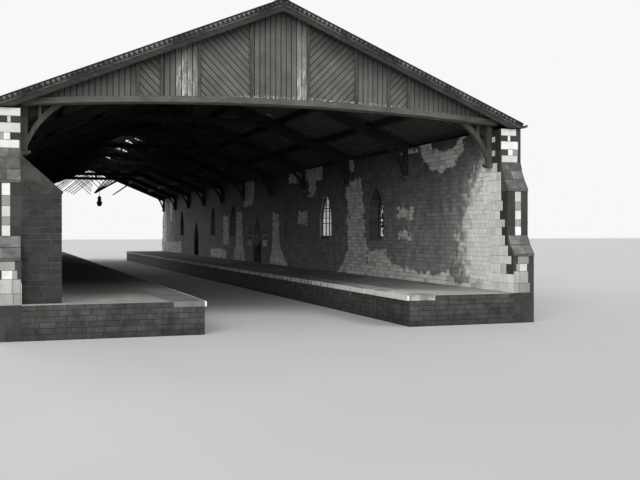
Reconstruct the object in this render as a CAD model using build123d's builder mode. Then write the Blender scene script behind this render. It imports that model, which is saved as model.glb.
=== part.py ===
from build123d import *

import os
from math import acos, atan2, ceil, degrees, radians, sqrt, tan

# A railway station's train shed, modelled at half its real size.
# Two long masonry walls with pointed windows and doorways carry a low slated roof over two
# platforms and the track bed between them. Both ends are open below a timber gable.
# X runs across the shed, Y along it with the boarded near gable at -Y, and Z is up from the
# track bed. Sizes are millimetres of the model, so the real shed is twice as large.

# The hall inside its walls
hall_width = 7000.0
hall_length = 31620.0
wall_thickness = 345.0
wall_height = 2500.0
platform_height = 450.0

# The openings in each long wall, counted from the near end
first_opening = 4960.0
opening_kinds = (
    "deep window",
    "flush window",
    "blocked window",
    "sidelit doorway",
    "deep window",
    "deep window",
    "plain doorway",
    "deep window",
)
window_width = 800.0
window_sill_height = 745.0
window_spring_height = 1167.0
doorway_width = 900.0
doorway_spring_height = 560.0
sidelight_width = 500.0
sidelight_sill_height = 440.0
sidelight_spring_height = 650.0
sidelight_pier = 160.0
blocking_recess = 45.0
facet_length = 175.0

# The window and door frames, glass, boards and sills
frame_width = 32.0
frame_depth = 36.0
frame_setback = 235.0
flush_frame_setback = 40.0
glass_thickness = 6.0
door_board_thickness = 22.0
rebate_clearance = 0.3
sill_depth = 50.0
sill_projection = 30.0

# The stepped piers at the four wall ends, and the courses of their sloped stones from below
pier_upper_reach = 200.0
pier_lower_reach = 370.0
pier_upper_set_off = 1530.0
pier_lower_set_off = 550.0
upper_slope_rises = (150.0, 147.0, 132.0)
upper_slope_runs = (102.0, 75.0)
lower_slope_rises = (135.0, 150.0)
lower_slope_runs = (110.0,)
weathering_nose = 25.0
weathering_overhang = 20.0

# The shallow buttresses along the outside of both walls, one behind each truss
buttress_width = 330.0
buttress_depth = 75.0
buttress_height = 1500.0
buttress_slope_height = 160.0

# The raked buttress on the inner side of the left wall, at the near end
inner_buttress_reach = 495.0
inner_buttress_depth = 350.0
inner_buttress_set_off = 1400.0
inner_buttress_slope_height = 460.0

# The platforms
left_platform_edge = 1150.0
right_platform_edge = 1750.0
coping_width = 450.0
coping_depth = 75.0
coping_overhang = 40.0

# The roof
roof_angle = 22.6
slate_build_up = 76.0
eaves_overhang = 15.0
verge_overhang = 130.0
ridge_tile_reach = 110.0
ridge_tile_thickness = 16.0
gutter_radius = 50.0
gutter_wall = 6.0
gutter_drop = 20.0

# The roof timbers
truss_thickness = 75.0
principal_depth = 165.0
purlin_depth = 105.0
purlin_width = 60.0
purlins_a_side = 3
ridge_board_width = 40.0
eaves_plate_width = 160.0
eaves_plate_depth = 15.0
collar_drop = 620.0
collar_depth = 120.0
king_post_width = 75.0
wall_post_width = 90.0
corbel_drop = 585.0
corbel_depth = 60.0
corbel_projection = 130.0
corbel_width = 140.0
brace_foot_rise = 65.0
brace_reach = 455.0
brace_rise = 55.0
brace_depth = 72.0
brace_end_width = 140.0
brace_strut_width = 38.0

# The boarded near gable, and the far gable that has lost most of its boards, both set in a
# little from the ends of the walls
gable_setback = 100.0
gable_frame_depth = 240.0
gable_post_depth = 80.0
gable_beam_rise = 215.0
gable_beam_camber = 150.0
gable_beam_depth = 85.0
gable_board_thickness = 20.0
gable_stud_width = 40.0
gable_stud_thickness = 36.0
gable_panel_edges = (420.0, 1160.0, 1675.0, 2000.0)
barge_depth = 180.0
barge_thickness = 34.0
barge_set_down = 6.0
slat_width = 40.0
slat_thickness = 18.0
slat_spacing = 115.0
slat_drop = 560.0
slat_lean = 0.9
left_slats_start = -1100.0
left_slat_count = 5
right_slats_start = -230.0
right_slat_count = 5
loose_board_head = 1850.0
loose_board_foot = 1050.0
loose_board_drop = 560.0

# The gas lamp that hangs from the ridge board in the bay nearest the far end
lamp_bottom_height = 2000.0
lamp_height = 330.0
lamp_hood_height = 112.0
lamp_hood_depth = 42.0
lamp_hood_edge = 10.0
lamp_hood_radius = 125.0
lamp_globe_radius = 82.0
lamp_globe_belt_radius = 68.0
lamp_globe_belt_drop = 45.0
lamp_globe_foot_radius = 32.0
lamp_cap_height = 34.0
lamp_sides = 12
lamp_neck_radius = 34.0
lamp_chimney_radius = 62.0
lamp_rod_radius = 8.0

# Places worked out from the sizes above
half_hall = hall_width / 2
half_length = hall_length / 2
outer_face = half_hall + wall_thickness
buttress_face = outer_face + buttress_depth
gable_face = half_length - gable_setback
wall_top = platform_height + wall_height
pier_end = half_length + pier_lower_reach
post_face = half_hall - wall_post_width
plate_face = outer_face - eaves_plate_width
eaves = outer_face + eaves_overhang
verge = gable_face + verge_overhang
frame_inside = gable_face - gable_frame_depth
post_front = frame_inside + gable_post_depth
gable_corbel_front = post_front + (corbel_width - gable_post_depth) / 2
roof_fall = tan(radians(roof_angle))
slope_factor = sqrt(1 + roof_fall**2)
slate_drop = slate_build_up * slope_factor
ridge_top = wall_top + eaves_plate_depth + slate_drop + roof_fall * outer_face
opening_pitch = (hall_length - 2 * first_opening) / (len(opening_kinds) - 1)
opening_places = [
    first_opening + number * opening_pitch - half_length for number in range(len(opening_kinds))
]
deep_window_places = []
flush_window_places = []
blocked_places = []
sidelit_places = []
doorway_places = []
for kind, place in zip(opening_kinds, opening_places):
    if kind == "deep window":
        deep_window_places.append(place)
    elif kind == "flush window":
        flush_window_places.append(place)
    elif kind == "blocked window":
        blocked_places.append(place)
    else:
        doorway_places.append(place)
    if kind == "sidelit doorway":
        sidelit_places.append(place)
window_places = deep_window_places + flush_window_places
truss_places = [place - opening_pitch / 2 for place in opening_places]
truss_places.append(opening_places[-1] + opening_pitch / 2)
gable_truss_place = frame_inside - truss_thickness / 2
sidelight_offset = doorway_width / 2 + sidelight_pier + sidelight_width / 2
sidelight_places = [place - sidelight_offset for place in sidelit_places]
sidelight_places += [place + sidelight_offset for place in sidelit_places]
upper_set_off = platform_height + pier_upper_set_off
lower_set_off = platform_height + pier_lower_set_off
buttress_top = platform_height + buttress_height
window_bottom = window_sill_height + sill_depth
sidelight_bottom = sidelight_sill_height + sill_depth
corbel_bottom = wall_top - corbel_drop
corbel_top = corbel_bottom + corbel_depth
brace_foot = corbel_top + brace_foot_rise
lamp_place = opening_places[-1]
lamp_bottom = platform_height + lamp_bottom_height


def roof_top(x):
    """Height of the slates' upper surface at a distance from the centre line."""
    return ridge_top - roof_fall * abs(x)


def roof_under(x):
    """Height of the underside of the common rafters."""
    return roof_top(x) - slate_drop


def principal_top(x):
    """Height of the backs of the principal rafters, where the purlins lie."""
    return roof_under(x) - purlin_depth * slope_factor


def principal_under(x):
    """Height of the lower edges of the principal rafters."""
    return principal_top(x) - principal_depth * slope_factor


beam_radius = (post_face**2 + gable_beam_camber**2) / (2 * gable_beam_camber)


def beam_under(x):
    """Height of the cambered gable beam's lower edge."""
    return wall_top + gable_beam_rise - beam_radius + sqrt(beam_radius**2 - x**2)


def beam_top(x):
    """Height of the cambered gable beam's upper edge, where the boards stand."""
    return beam_under(x) + gable_beam_depth


def faceted(arc):
    """The straight facets that stand for an arc, between points on it."""
    count = ceil(arc.length / facet_length)
    return Polyline([arc @ (number / count) for number in range(count + 1)])


def pointed_face(width, bottom, spring, inset=0.0):
    """The face of an equilateral pointed opening, or of what fills it within an inset."""
    radius = width - inset
    half_width = width / 2 - inset
    sweep = degrees(acos((radius - half_width) / radius))
    foot = bottom + inset
    right_centre = (half_width - radius, spring)
    left_centre = (radius - half_width, spring)
    with BuildSketch() as face:
        with BuildLine():
            Polyline((-half_width, spring), (-half_width, foot), (half_width, foot), (half_width, spring))
            faceted(CenterArc(right_centre, radius, 0, sweep, mode=Mode.PRIVATE))
            faceted(CenterArc(left_centre, radius, 180 - sweep, sweep, mode=Mode.PRIVATE))
        make_face()
    return face.sketch


def ring_face(width, bottom, spring):
    """The face of a frame that lines a pointed opening."""
    with BuildSketch() as face:
        add(pointed_face(width, bottom, spring))
        add(pointed_face(width, bottom, spring, frame_width), mode=Mode.SUBTRACT)
    return face.sketch


def set_off_face(back, front, bottom, rises, runs=()):
    """The side view of a set-off: a square nose and sloped courses, the last back to the wall."""
    nose = front + weathering_overhang
    outline = [(back, bottom), (nose, bottom), (nose, bottom + weathering_nose)]
    for rise, run in zip(rises, runs):
        outline.append((outline[-1][0] - run, outline[-1][1] + rise))
    outline.append((back, outline[-1][1] + rises[-1]))
    with BuildSketch() as face:
        with BuildLine():
            Polyline(outline, close=True)
        make_face()
    return face.sketch


def brace_ends(head_height):
    """Where a curved brace's lower edge starts and ends, and the way towards its back."""
    head = post_face - brace_reach
    start = Vector(head, head_height(head))
    end = Vector(post_face, brace_foot)
    return start, end, (end - start).rotate(Axis.Z, 90).normalized()


def brace_face(head_height):
    """The face of a curved brace, from a wall post up to the timber over it."""
    start, end, outward = brace_ends(head_height)
    far_head = start.X + brace_end_width
    middle = (start + end) / 2
    with BuildSketch() as face:
        with BuildLine():
            lower = ThreePointArc(start, middle + outward * brace_rise, end, mode=Mode.PRIVATE)
            upper = ThreePointArc(
                (post_face, brace_foot + brace_end_width),
                middle + outward * (brace_rise + brace_depth),
                (far_head, head_height(far_head)),
                mode=Mode.PRIVATE,
            )
            faceted(lower)
            faceted(upper)
            Line(lower @ 1, upper @ 0)
            Line(upper @ 1, lower @ 0)
        make_face()
    return face.sketch


def gable_panel_face(inner, outer):
    """The face of a board panel that stands on the beam and reaches the rafters."""
    middle = (inner + outer) / 2
    with BuildSketch() as face:
        with BuildLine():
            Line((inner, roof_under(inner)), (inner, beam_top(inner)))
            ThreePointArc(
                (inner, beam_top(inner)), (middle, beam_top(middle)), (outer, beam_top(outer))
            )
            Line((outer, beam_top(outer)), (outer, roof_under(outer)))
            Line((outer, roof_under(outer)), (inner, roof_under(inner)))
        make_face()
    return face.sketch


# The inner face of a long wall, with its windows and doorways cut out
with BuildSketch() as wall_face:
    Rectangle(hall_length, wall_top, align=(Align.CENTER, Align.MIN))
    with Locations(*[(place, platform_height) for place in window_places + blocked_places]):
        add(
            pointed_face(window_width, window_sill_height, window_spring_height),
            mode=Mode.SUBTRACT,
        )
    with Locations(*[(place, platform_height) for place in doorway_places]):
        add(pointed_face(doorway_width, 0, doorway_spring_height), mode=Mode.SUBTRACT)
    with Locations(*[(place, platform_height) for place in sidelight_places]):
        add(
            pointed_face(sidelight_width, sidelight_sill_height, sidelight_spring_height),
            mode=Mode.SUBTRACT,
        )


def course_face(bottom, top):
    """The part of the wall's face that lies between two heights."""
    with BuildSketch() as face:
        add(wall_face.sketch)
        with Locations((0, bottom)):
            Rectangle(
                hall_length, top - bottom, align=(Align.CENTER, Align.MIN), mode=Mode.INTERSECT
            )
    return face.sketch


# The walls in four lifts: under the platforms' level, up to the window sills, up to the
# springing of the window arches, and up to the roof
sill_level = platform_height + window_sill_height
spring_level = platform_height + window_spring_height
with BuildPart() as wall_footings:
    with BuildSketch(Plane.YZ.offset(half_hall)):
        add(course_face(0, platform_height))
    extrude(amount=wall_thickness)
    mirror(about=Plane.YZ)
wall_footings.part.label = "wall_footings"
export_step(wall_footings.part, "parts/wall_footings.step")

with BuildPart() as wall_dados:
    with BuildSketch(Plane.YZ.offset(half_hall)):
        add(course_face(platform_height, sill_level))
    extrude(amount=wall_thickness)
    mirror(about=Plane.YZ)
wall_dados.part.label = "wall_dados"
export_step(wall_dados.part, "parts/wall_dados.step")

with BuildPart() as wall_window_lifts:
    with BuildSketch(Plane.YZ.offset(half_hall)):
        add(course_face(sill_level, spring_level))
    extrude(amount=wall_thickness)
    mirror(about=Plane.YZ)
wall_window_lifts.part.label = "wall_window_lifts"
export_step(wall_window_lifts.part, "parts/wall_window_lifts.step")

with BuildPart() as wall_heads:
    with BuildSketch(Plane.YZ.offset(half_hall)):
        add(course_face(spring_level, wall_top))
    extrude(amount=wall_thickness)
    mirror(about=Plane.YZ)
wall_heads.part.label = "wall_heads"
export_step(wall_heads.part, "parts/wall_heads.step")

# The masonry that closes the third window of each wall
with BuildPart() as blocked_windows:
    with BuildSketch(Plane.YZ.offset(half_hall + blocking_recess)):
        with Locations(*[(place, platform_height) for place in blocked_places]):
            add(pointed_face(window_width, window_sill_height, window_spring_height))
    extrude(amount=wall_thickness - 2 * blocking_recess)
    mirror(about=Plane.YZ)
blocked_windows.part.label = "blocked_windows"
export_step(blocked_windows.part, "parts/blocked_windows.step")

# The end piers, which step out towards the end
with BuildPart() as end_piers:
    with BuildSketch():
        with Locations((half_hall, -half_length)):
            Rectangle(wall_thickness, pier_upper_reach, align=(Align.MIN, Align.MAX))
    extrude(amount=upper_set_off)
    with BuildSketch():
        with Locations((half_hall, -half_length)):
            Rectangle(wall_thickness, pier_lower_reach, align=(Align.MIN, Align.MAX))
    extrude(amount=lower_set_off)
    mirror(about=Plane.XZ)
    mirror(about=Plane.YZ)
end_piers.part.label = "end_piers"
export_step(end_piers.part, "parts/end_piers.step")

# The set-offs on the two stages of each pier, hollowed from course to course
upper_pier_face = half_length + pier_upper_reach
upper_weathering = set_off_face(
    half_length, upper_pier_face, upper_set_off, upper_slope_rises, upper_slope_runs
)
with BuildPart() as pier_upper_weatherings:
    with BuildSketch(Plane.YZ.offset(half_hall)):
        add(upper_weathering)
    extrude(amount=wall_thickness)
    mirror(about=Plane.XZ)
    mirror(about=Plane.YZ)
pier_upper_weatherings.part.label = "pier_upper_weatherings"
export_step(pier_upper_weatherings.part, "parts/pier_upper_weatherings.step")

lower_weathering = set_off_face(
    upper_pier_face, pier_end, lower_set_off, lower_slope_rises, lower_slope_runs
)
with BuildPart() as pier_lower_weatherings:
    with BuildSketch(Plane.YZ.offset(half_hall)):
        add(lower_weathering)
    extrude(amount=wall_thickness)
    mirror(about=Plane.XZ)
    mirror(about=Plane.YZ)
pier_lower_weatherings.part.label = "pier_lower_weatherings"
export_step(pier_lower_weatherings.part, "parts/pier_lower_weatherings.step")

# The outer buttresses
with BuildPart() as outer_buttresses:
    with BuildSketch():
        with Locations(*[(outer_face, place) for place in truss_places]):
            Rectangle(buttress_depth, buttress_width, align=(Align.MIN, Align.CENTER))
    extrude(amount=buttress_top)
    mirror(about=Plane.YZ)
outer_buttresses.part.label = "outer_buttresses"
export_step(outer_buttresses.part, "parts/outer_buttresses.step")

# The raked buttress that stands on the left platform
inner_set_off = platform_height + inner_buttress_set_off
with BuildPart() as inner_buttress:
    with BuildSketch(Plane.XY.offset(platform_height)):
        with Locations((-half_hall, -half_length - pier_upper_reach)):
            Rectangle(
                inner_buttress_reach, inner_buttress_depth, align=(Align.MIN, Align.MIN)
            )
    extrude(amount=inner_buttress_set_off)
inner_buttress.part.label = "inner_buttress"
export_step(inner_buttress.part, "parts/inner_buttress.step")

# The sloped stones on the heads of all the buttresses
buttress_head = set_off_face(outer_face, buttress_face, buttress_top, (buttress_slope_height,))
inner_head = set_off_face(0, inner_buttress_reach, inner_set_off, (inner_buttress_slope_height,))
with BuildPart() as buttress_heads:
    for place in truss_places:
        with BuildSketch(Plane.XZ.offset(-place)):
            add(buttress_head)
        extrude(amount=buttress_width / 2 + weathering_overhang, both=True)
    mirror(about=Plane.YZ)
    with BuildSketch(Plane.XZ.offset(half_length + pier_upper_reach)):
        with Locations((-half_hall, 0)):
            add(inner_head)
    extrude(amount=-inner_buttress_depth)
buttress_heads.part.label = "buttress_heads"
export_step(buttress_heads.part, "parts/buttress_heads.step")

# The sills, which project from both faces of the wall
wall_middle = half_hall + wall_thickness / 2
with BuildPart() as window_sills:
    with BuildSketch(Plane.XY.offset(platform_height + window_sill_height)):
        with Locations(*[(wall_middle, place) for place in window_places]):
            Rectangle(wall_thickness + 2 * sill_projection, window_width)
    extrude(amount=sill_depth)
    with BuildSketch(Plane.XY.offset(platform_height + sidelight_sill_height)):
        with Locations(*[(wall_middle, place) for place in sidelight_places]):
            Rectangle(wall_thickness + 2 * sill_projection, sidelight_width)
    extrude(amount=sill_depth)
    mirror(about=Plane.YZ)
window_sills.part.label = "window_sills"
export_step(window_sills.part, "parts/window_sills.step")

# The window and door frames
with BuildPart() as window_frames:
    with BuildSketch(Plane.YZ.offset(half_hall + frame_setback)):
        with Locations(*[(place, platform_height) for place in deep_window_places]):
            add(ring_face(window_width, window_bottom, window_spring_height))
        with Locations(*[(place, platform_height) for place in sidelight_places]):
            add(ring_face(sidelight_width, sidelight_bottom, sidelight_spring_height))
    extrude(amount=frame_depth)
    with BuildSketch(Plane.YZ.offset(half_hall + flush_frame_setback)):
        with Locations(*[(place, platform_height) for place in flush_window_places]):
            add(ring_face(window_width, window_bottom, window_spring_height))
    extrude(amount=frame_depth)
    mirror(about=Plane.YZ)
window_frames.part.label = "window_frames"
export_step(window_frames.part, "parts/window_frames.step")

with BuildPart() as door_frames:
    with BuildSketch(Plane.YZ.offset(half_hall + frame_setback)):
        with Locations(*[(place, platform_height) for place in doorway_places]):
            add(ring_face(doorway_width, 0, doorway_spring_height))
            with Locations((0, doorway_spring_height)):
                Rectangle(doorway_width - 2 * frame_width, frame_width)
    extrude(amount=frame_depth)
    mirror(about=Plane.YZ)
door_frames.part.label = "door_frames"
export_step(door_frames.part, "parts/door_frames.step")

# The glass of each window and sidelight
glass_inset = frame_width + rebate_clearance
glass_setback = (frame_depth - glass_thickness) / 2
with BuildPart() as window_glass:
    with BuildSketch(Plane.YZ.offset(half_hall + frame_setback + glass_setback)):
        with Locations(*[(place, platform_height) for place in deep_window_places]):
            add(pointed_face(window_width, window_bottom, window_spring_height, glass_inset))
        with Locations(*[(place, platform_height) for place in sidelight_places]):
            add(
                pointed_face(
                    sidelight_width, sidelight_bottom, sidelight_spring_height, glass_inset
                )
            )
    extrude(amount=glass_thickness)
    with BuildSketch(Plane.YZ.offset(half_hall + flush_frame_setback + glass_setback)):
        with Locations(*[(place, platform_height) for place in flush_window_places]):
            add(pointed_face(window_width, window_bottom, window_spring_height, glass_inset))
    extrude(amount=glass_thickness)
    mirror(about=Plane.YZ)
window_glass.part.label = "window_glass"
export_step(window_glass.part, "parts/window_glass.step")

# The boards that fill each doorway below and above its transom
door_inset = frame_width + rebate_clearance
transom_gap = frame_width / 2 + rebate_clearance
with BuildPart() as door_boards:
    with BuildSketch(Plane.YZ.offset(half_hall + frame_setback)):
        with Locations(*[(place, platform_height) for place in doorway_places]):
            add(pointed_face(doorway_width, 0, doorway_spring_height, door_inset))
            with Locations((0, doorway_spring_height)):
                Rectangle(doorway_width, 2 * transom_gap, mode=Mode.SUBTRACT)
    extrude(amount=door_board_thickness)
    mirror(about=Plane.YZ)
door_boards.part.label = "door_boards"
export_step(door_boards.part, "parts/door_boards.step")

# The platforms, rebated for their copings
with BuildPart() as platform_right:
    with BuildSketch(Plane.XZ.offset(pier_end)):
        with BuildLine():
            Polyline(
                (half_hall, 0),
                (right_platform_edge + coping_overhang, 0),
                (right_platform_edge + coping_overhang, platform_height - coping_depth),
                (right_platform_edge + coping_width, platform_height - coping_depth),
                (right_platform_edge + coping_width, platform_height),
                (half_hall, platform_height),
                close=True,
            )
        make_face()
    extrude(amount=-2 * pier_end)
platform_right.part.label = "platform_right"
export_step(platform_right.part, "parts/platform_right.step")

with BuildPart() as platform_left:
    with BuildSketch(Plane.XZ.offset(pier_end)):
        with BuildLine():
            Polyline(
                (-half_hall, 0),
                (-left_platform_edge - coping_overhang, 0),
                (-left_platform_edge - coping_overhang, platform_height - coping_depth),
                (-left_platform_edge - coping_width, platform_height - coping_depth),
                (-left_platform_edge - coping_width, platform_height),
                (-half_hall, platform_height),
                close=True,
            )
        make_face()
    extrude(amount=-2 * pier_end)
platform_left.part.label = "platform_left"
export_step(platform_left.part, "parts/platform_left.step")

# The edge stones of both platforms
with BuildPart() as copings:
    with BuildSketch(Plane.XY.offset(platform_height)):
        with Locations((right_platform_edge, 0)):
            Rectangle(coping_width, 2 * pier_end, align=(Align.MIN, Align.CENTER))
        with Locations((-left_platform_edge, 0)):
            Rectangle(coping_width, 2 * pier_end, align=(Align.MAX, Align.CENTER))
    extrude(amount=-coping_depth)
copings.part.label = "copings"
export_step(copings.part, "parts/copings.step")

# The two slopes of slates on their battens and common rafters
with BuildPart() as roof_slope_right:
    with BuildSketch(Plane.XZ.offset(verge)):
        with BuildLine():
            Polyline(
                (0, roof_top(0)),
                (eaves, roof_top(eaves)),
                (eaves, roof_under(eaves)),
                (0, roof_under(0)),
                close=True,
            )
        make_face()
    extrude(amount=-2 * verge)
roof_slope_right.part.label = "roof_slope_right"
export_step(roof_slope_right.part, "parts/roof_slope_right.step")

with BuildPart() as roof_slope_left:
    mirror(roof_slope_right.part, about=Plane.YZ)
roof_slope_left.part.label = "roof_slope_left"
export_step(roof_slope_left.part, "parts/roof_slope_left.step")

with BuildPart() as ridge_tiles:
    with BuildSketch(Plane.XZ.offset(verge)):
        with BuildLine():
            Polyline(
                (0, roof_top(0)),
                (ridge_tile_reach, roof_top(ridge_tile_reach)),
                (ridge_tile_reach, roof_top(ridge_tile_reach) + ridge_tile_thickness),
                (0, roof_top(0) + ridge_tile_thickness),
                close=True,
            )
        make_face()
        mirror(about=Plane.YZ)
    extrude(amount=-2 * verge)
ridge_tiles.part.label = "ridge_tiles"
export_step(ridge_tiles.part, "parts/ridge_tiles.step")

# The half-round gutters
with BuildPart() as gutters:
    with BuildSketch(Plane.XZ.offset(verge)):
        with Locations((eaves + gutter_radius, roof_top(eaves) - gutter_drop)):
            Circle(gutter_radius)
            Circle(gutter_radius - gutter_wall, mode=Mode.SUBTRACT)
            Rectangle(
                2 * gutter_radius,
                gutter_radius,
                align=(Align.CENTER, Align.MIN),
                mode=Mode.SUBTRACT,
            )
    extrude(amount=-2 * verge)
    mirror(about=Plane.YZ)
gutters.part.label = "gutters"
export_step(gutters.part, "parts/gutters.step")

# The principal rafters, notched over the walls
rafter_toe = (principal_top(0) - wall_top) / roof_fall
with BuildSketch() as rafter_side:
    with BuildLine():
        Polyline(
            (0, principal_top(0)),
            (rafter_toe, wall_top),
            (half_hall, wall_top),
            (half_hall, principal_under(half_hall)),
            (0, principal_under(0)),
            close=True,
        )
    make_face()
with BuildPart() as principal_rafters_right:
    for place in [-gable_truss_place, *truss_places, gable_truss_place]:
        with BuildSketch(Plane.XZ.offset(-place)):
            add(rafter_side.sketch)
        extrude(amount=truss_thickness / 2, both=True)
principal_rafters_right.part.label = "principal_rafters_right"
export_step(principal_rafters_right.part, "parts/principal_rafters_right.step")

with BuildPart() as principal_rafters_left:
    mirror(principal_rafters_right.part, about=Plane.YZ)
principal_rafters_left.part.label = "principal_rafters_left"
export_step(principal_rafters_left.part, "parts/principal_rafters_left.step")

# The collars between the inner principal rafters, and the king posts over them
collar_bottom = principal_under(0) - collar_drop
collar_top = collar_bottom + collar_depth
collar_bottom_reach = (principal_under(0) - collar_bottom) / roof_fall
collar_top_reach = (principal_under(0) - collar_top) / roof_fall
with BuildPart() as collar_beams:
    for place in truss_places:
        with BuildSketch(Plane.XZ.offset(-place)):
            with BuildLine():
                Polyline(
                    (-collar_bottom_reach, collar_bottom),
                    (collar_bottom_reach, collar_bottom),
                    (collar_top_reach, collar_top),
                    (-collar_top_reach, collar_top),
                    close=True,
                )
            make_face()
        extrude(amount=truss_thickness / 2, both=True)
collar_beams.part.label = "collar_beams"
export_step(collar_beams.part, "parts/collar_beams.step")

with BuildPart() as king_posts:
    for place in truss_places:
        with BuildSketch(Plane.XZ.offset(-place)):
            with BuildLine():
                Polyline(
                    (-king_post_width / 2, collar_top),
                    (king_post_width / 2, collar_top),
                    (king_post_width / 2, principal_under(king_post_width / 2)),
                    (0, principal_under(0)),
                    (-king_post_width / 2, principal_under(king_post_width / 2)),
                    close=True,
                )
            make_face()
        extrude(amount=truss_thickness / 2, both=True)
king_posts.part.label = "king_posts"
export_step(king_posts.part, "parts/king_posts.step")

# The purlins and the ridge board, which carry the common rafters
purlin_run = purlin_width / slope_factor
purlin_spacing = plate_face / (purlins_a_side + 1)
with BuildPart() as purlins:
    with BuildSketch(Plane.XZ.offset(frame_inside)):
        for row in range(1, purlins_a_side + 1):
            inner = row * purlin_spacing
            outer = inner + purlin_run
            with BuildLine():
                Polyline(
                    (inner, principal_top(inner)),
                    (outer, principal_top(outer)),
                    (outer, roof_under(outer)),
                    (inner, roof_under(inner)),
                    close=True,
                )
            make_face()
    extrude(amount=-frame_inside - verge)
    mirror(about=Plane.YZ)
purlins.part.label = "purlins"
export_step(purlins.part, "parts/purlins.step")

with BuildPart() as ridge_board:
    with BuildSketch(Plane.XZ.offset(frame_inside)):
        with BuildLine():
            Polyline(
                (-ridge_board_width / 2, principal_top(0)),
                (ridge_board_width / 2, principal_top(0)),
                (ridge_board_width / 2, roof_under(ridge_board_width / 2)),
                (0, roof_under(0)),
                (-ridge_board_width / 2, roof_under(ridge_board_width / 2)),
                close=True,
            )
        make_face()
    extrude(amount=-frame_inside - verge)
ridge_board.part.label = "ridge_board"
export_step(ridge_board.part, "parts/ridge_board.step")

# The plate on each wall, bevelled to the rafters
with BuildPart() as eaves_plates:
    with BuildSketch(Plane.XZ.offset(half_length)):
        with BuildLine():
            Polyline(
                (plate_face, wall_top),
                (outer_face, wall_top),
                (outer_face, roof_under(outer_face)),
                (plate_face, roof_under(plate_face)),
                close=True,
            )
        make_face()
    extrude(amount=-hall_length)
    mirror(about=Plane.YZ)
eaves_plates.part.label = "eaves_plates"
export_step(eaves_plates.part, "parts/eaves_plates.step")

# The stone corbels, which carry the wall posts
with BuildSketch() as corbel_side:
    with BuildLine():
        Polyline(
            (half_hall, corbel_bottom),
            (half_hall - corbel_projection / 2, corbel_bottom),
            (half_hall - corbel_projection, corbel_bottom + corbel_depth / 2),
            (half_hall - corbel_projection, corbel_top),
            (half_hall, corbel_top),
            close=True,
        )
    make_face()
with BuildPart() as corbels:
    for place in truss_places:
        with BuildSketch(Plane.XZ.offset(-place)):
            add(corbel_side.sketch)
        extrude(amount=corbel_width / 2, both=True)
    with BuildSketch(Plane.XZ.offset(gable_corbel_front)):
        add(corbel_side.sketch)
    extrude(amount=-corbel_width)
    with BuildSketch(Plane.XZ.offset(-gable_corbel_front)):
        add(corbel_side.sketch)
    extrude(amount=corbel_width)
    mirror(about=Plane.YZ)
corbels.part.label = "corbels"
export_step(corbels.part, "parts/corbels.step")

# The posts against the walls, under each inner principal rafter
with BuildPart() as wall_posts:
    for place in truss_places:
        with BuildSketch(Plane.XZ.offset(-place)):
            with BuildLine():
                Polyline(
                    (half_hall, corbel_top),
                    (post_face, corbel_top),
                    (post_face, principal_under(post_face)),
                    (half_hall, principal_under(half_hall)),
                    close=True,
                )
            make_face()
        extrude(amount=truss_thickness / 2, both=True)
    mirror(about=Plane.YZ)
wall_posts.part.label = "wall_posts"
export_step(wall_posts.part, "parts/wall_posts.step")

# The corner posts of both gable frames: the near ones carry the beam at its back, and the far
# ones reach the common rafters
with BuildPart() as gable_posts:
    for front, depth, head_height in (
        (post_front, -gable_post_depth, beam_under),
        (-post_front, gable_post_depth, roof_under),
    ):
        with BuildSketch(Plane.XZ.offset(front)):
            with BuildLine():
                Polyline(
                    (half_hall, corbel_top),
                    (post_face, corbel_top),
                    (post_face, head_height(post_face)),
                    (half_hall, head_height(half_hall)),
                    close=True,
                )
            make_face()
        extrude(amount=depth)
    mirror(about=Plane.YZ)
gable_posts.part.label = "gable_posts"
export_step(gable_posts.part, "parts/gable_posts.step")

# The curved braces of the inner trusses
truss_brace = brace_face(principal_under)
with BuildPart() as truss_braces:
    for place in truss_places:
        with BuildSketch(Plane.XZ.offset(-place)):
            add(truss_brace)
        extrude(amount=truss_thickness / 2, both=True)
    mirror(about=Plane.YZ)
truss_braces.part.label = "truss_braces"
export_step(truss_braces.part, "parts/truss_braces.step")

# The curved braces in the corners of the gable frames, with a short strut on the near ones
start, end, outward = brace_ends(beam_under)
strut_foot = (start + end) / 2 + outward * (brace_rise + brace_depth / 2)
strut_inside = strut_foot.X - brace_strut_width / 2
strut_outside = strut_inside + brace_strut_width
with BuildPart() as gable_braces:
    with BuildSketch(Plane.XZ.offset(post_front)):
        add(brace_face(beam_under))
        with BuildLine():
            Polyline(
                (strut_inside, strut_foot.Y),
                (strut_outside, strut_foot.Y),
                (strut_outside, beam_under(strut_outside)),
                (strut_inside, beam_under(strut_inside)),
                close=True,
            )
        make_face()
    extrude(amount=-gable_post_depth)
    with BuildSketch(Plane.XZ.offset(-post_front)):
        add(brace_face(principal_top))
    extrude(amount=gable_post_depth)
    mirror(about=Plane.YZ)
gable_braces.part.label = "gable_braces"
export_step(gable_braces.part, "parts/gable_braces.step")

# The cambered beam under the boards of the near gable
with BuildPart() as gable_beam:
    with BuildSketch(Plane.XZ.offset(gable_face)):
        with BuildLine():
            ThreePointArc(
                (-half_hall, beam_under(half_hall)),
                (0, beam_under(0)),
                (half_hall, beam_under(half_hall)),
            )
            Line((half_hall, beam_under(half_hall)), (half_hall, beam_top(half_hall)))
            ThreePointArc(
                (half_hall, beam_top(half_hall)),
                (0, beam_top(0)),
                (-half_hall, beam_top(half_hall)),
            )
            Line((-half_hall, beam_top(half_hall)), (-half_hall, beam_under(half_hall)))
        make_face()
    extrude(amount=-gable_frame_depth)
gable_beam.part.label = "gable_beam"
export_step(gable_beam.part, "parts/gable_beam.step")

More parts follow.
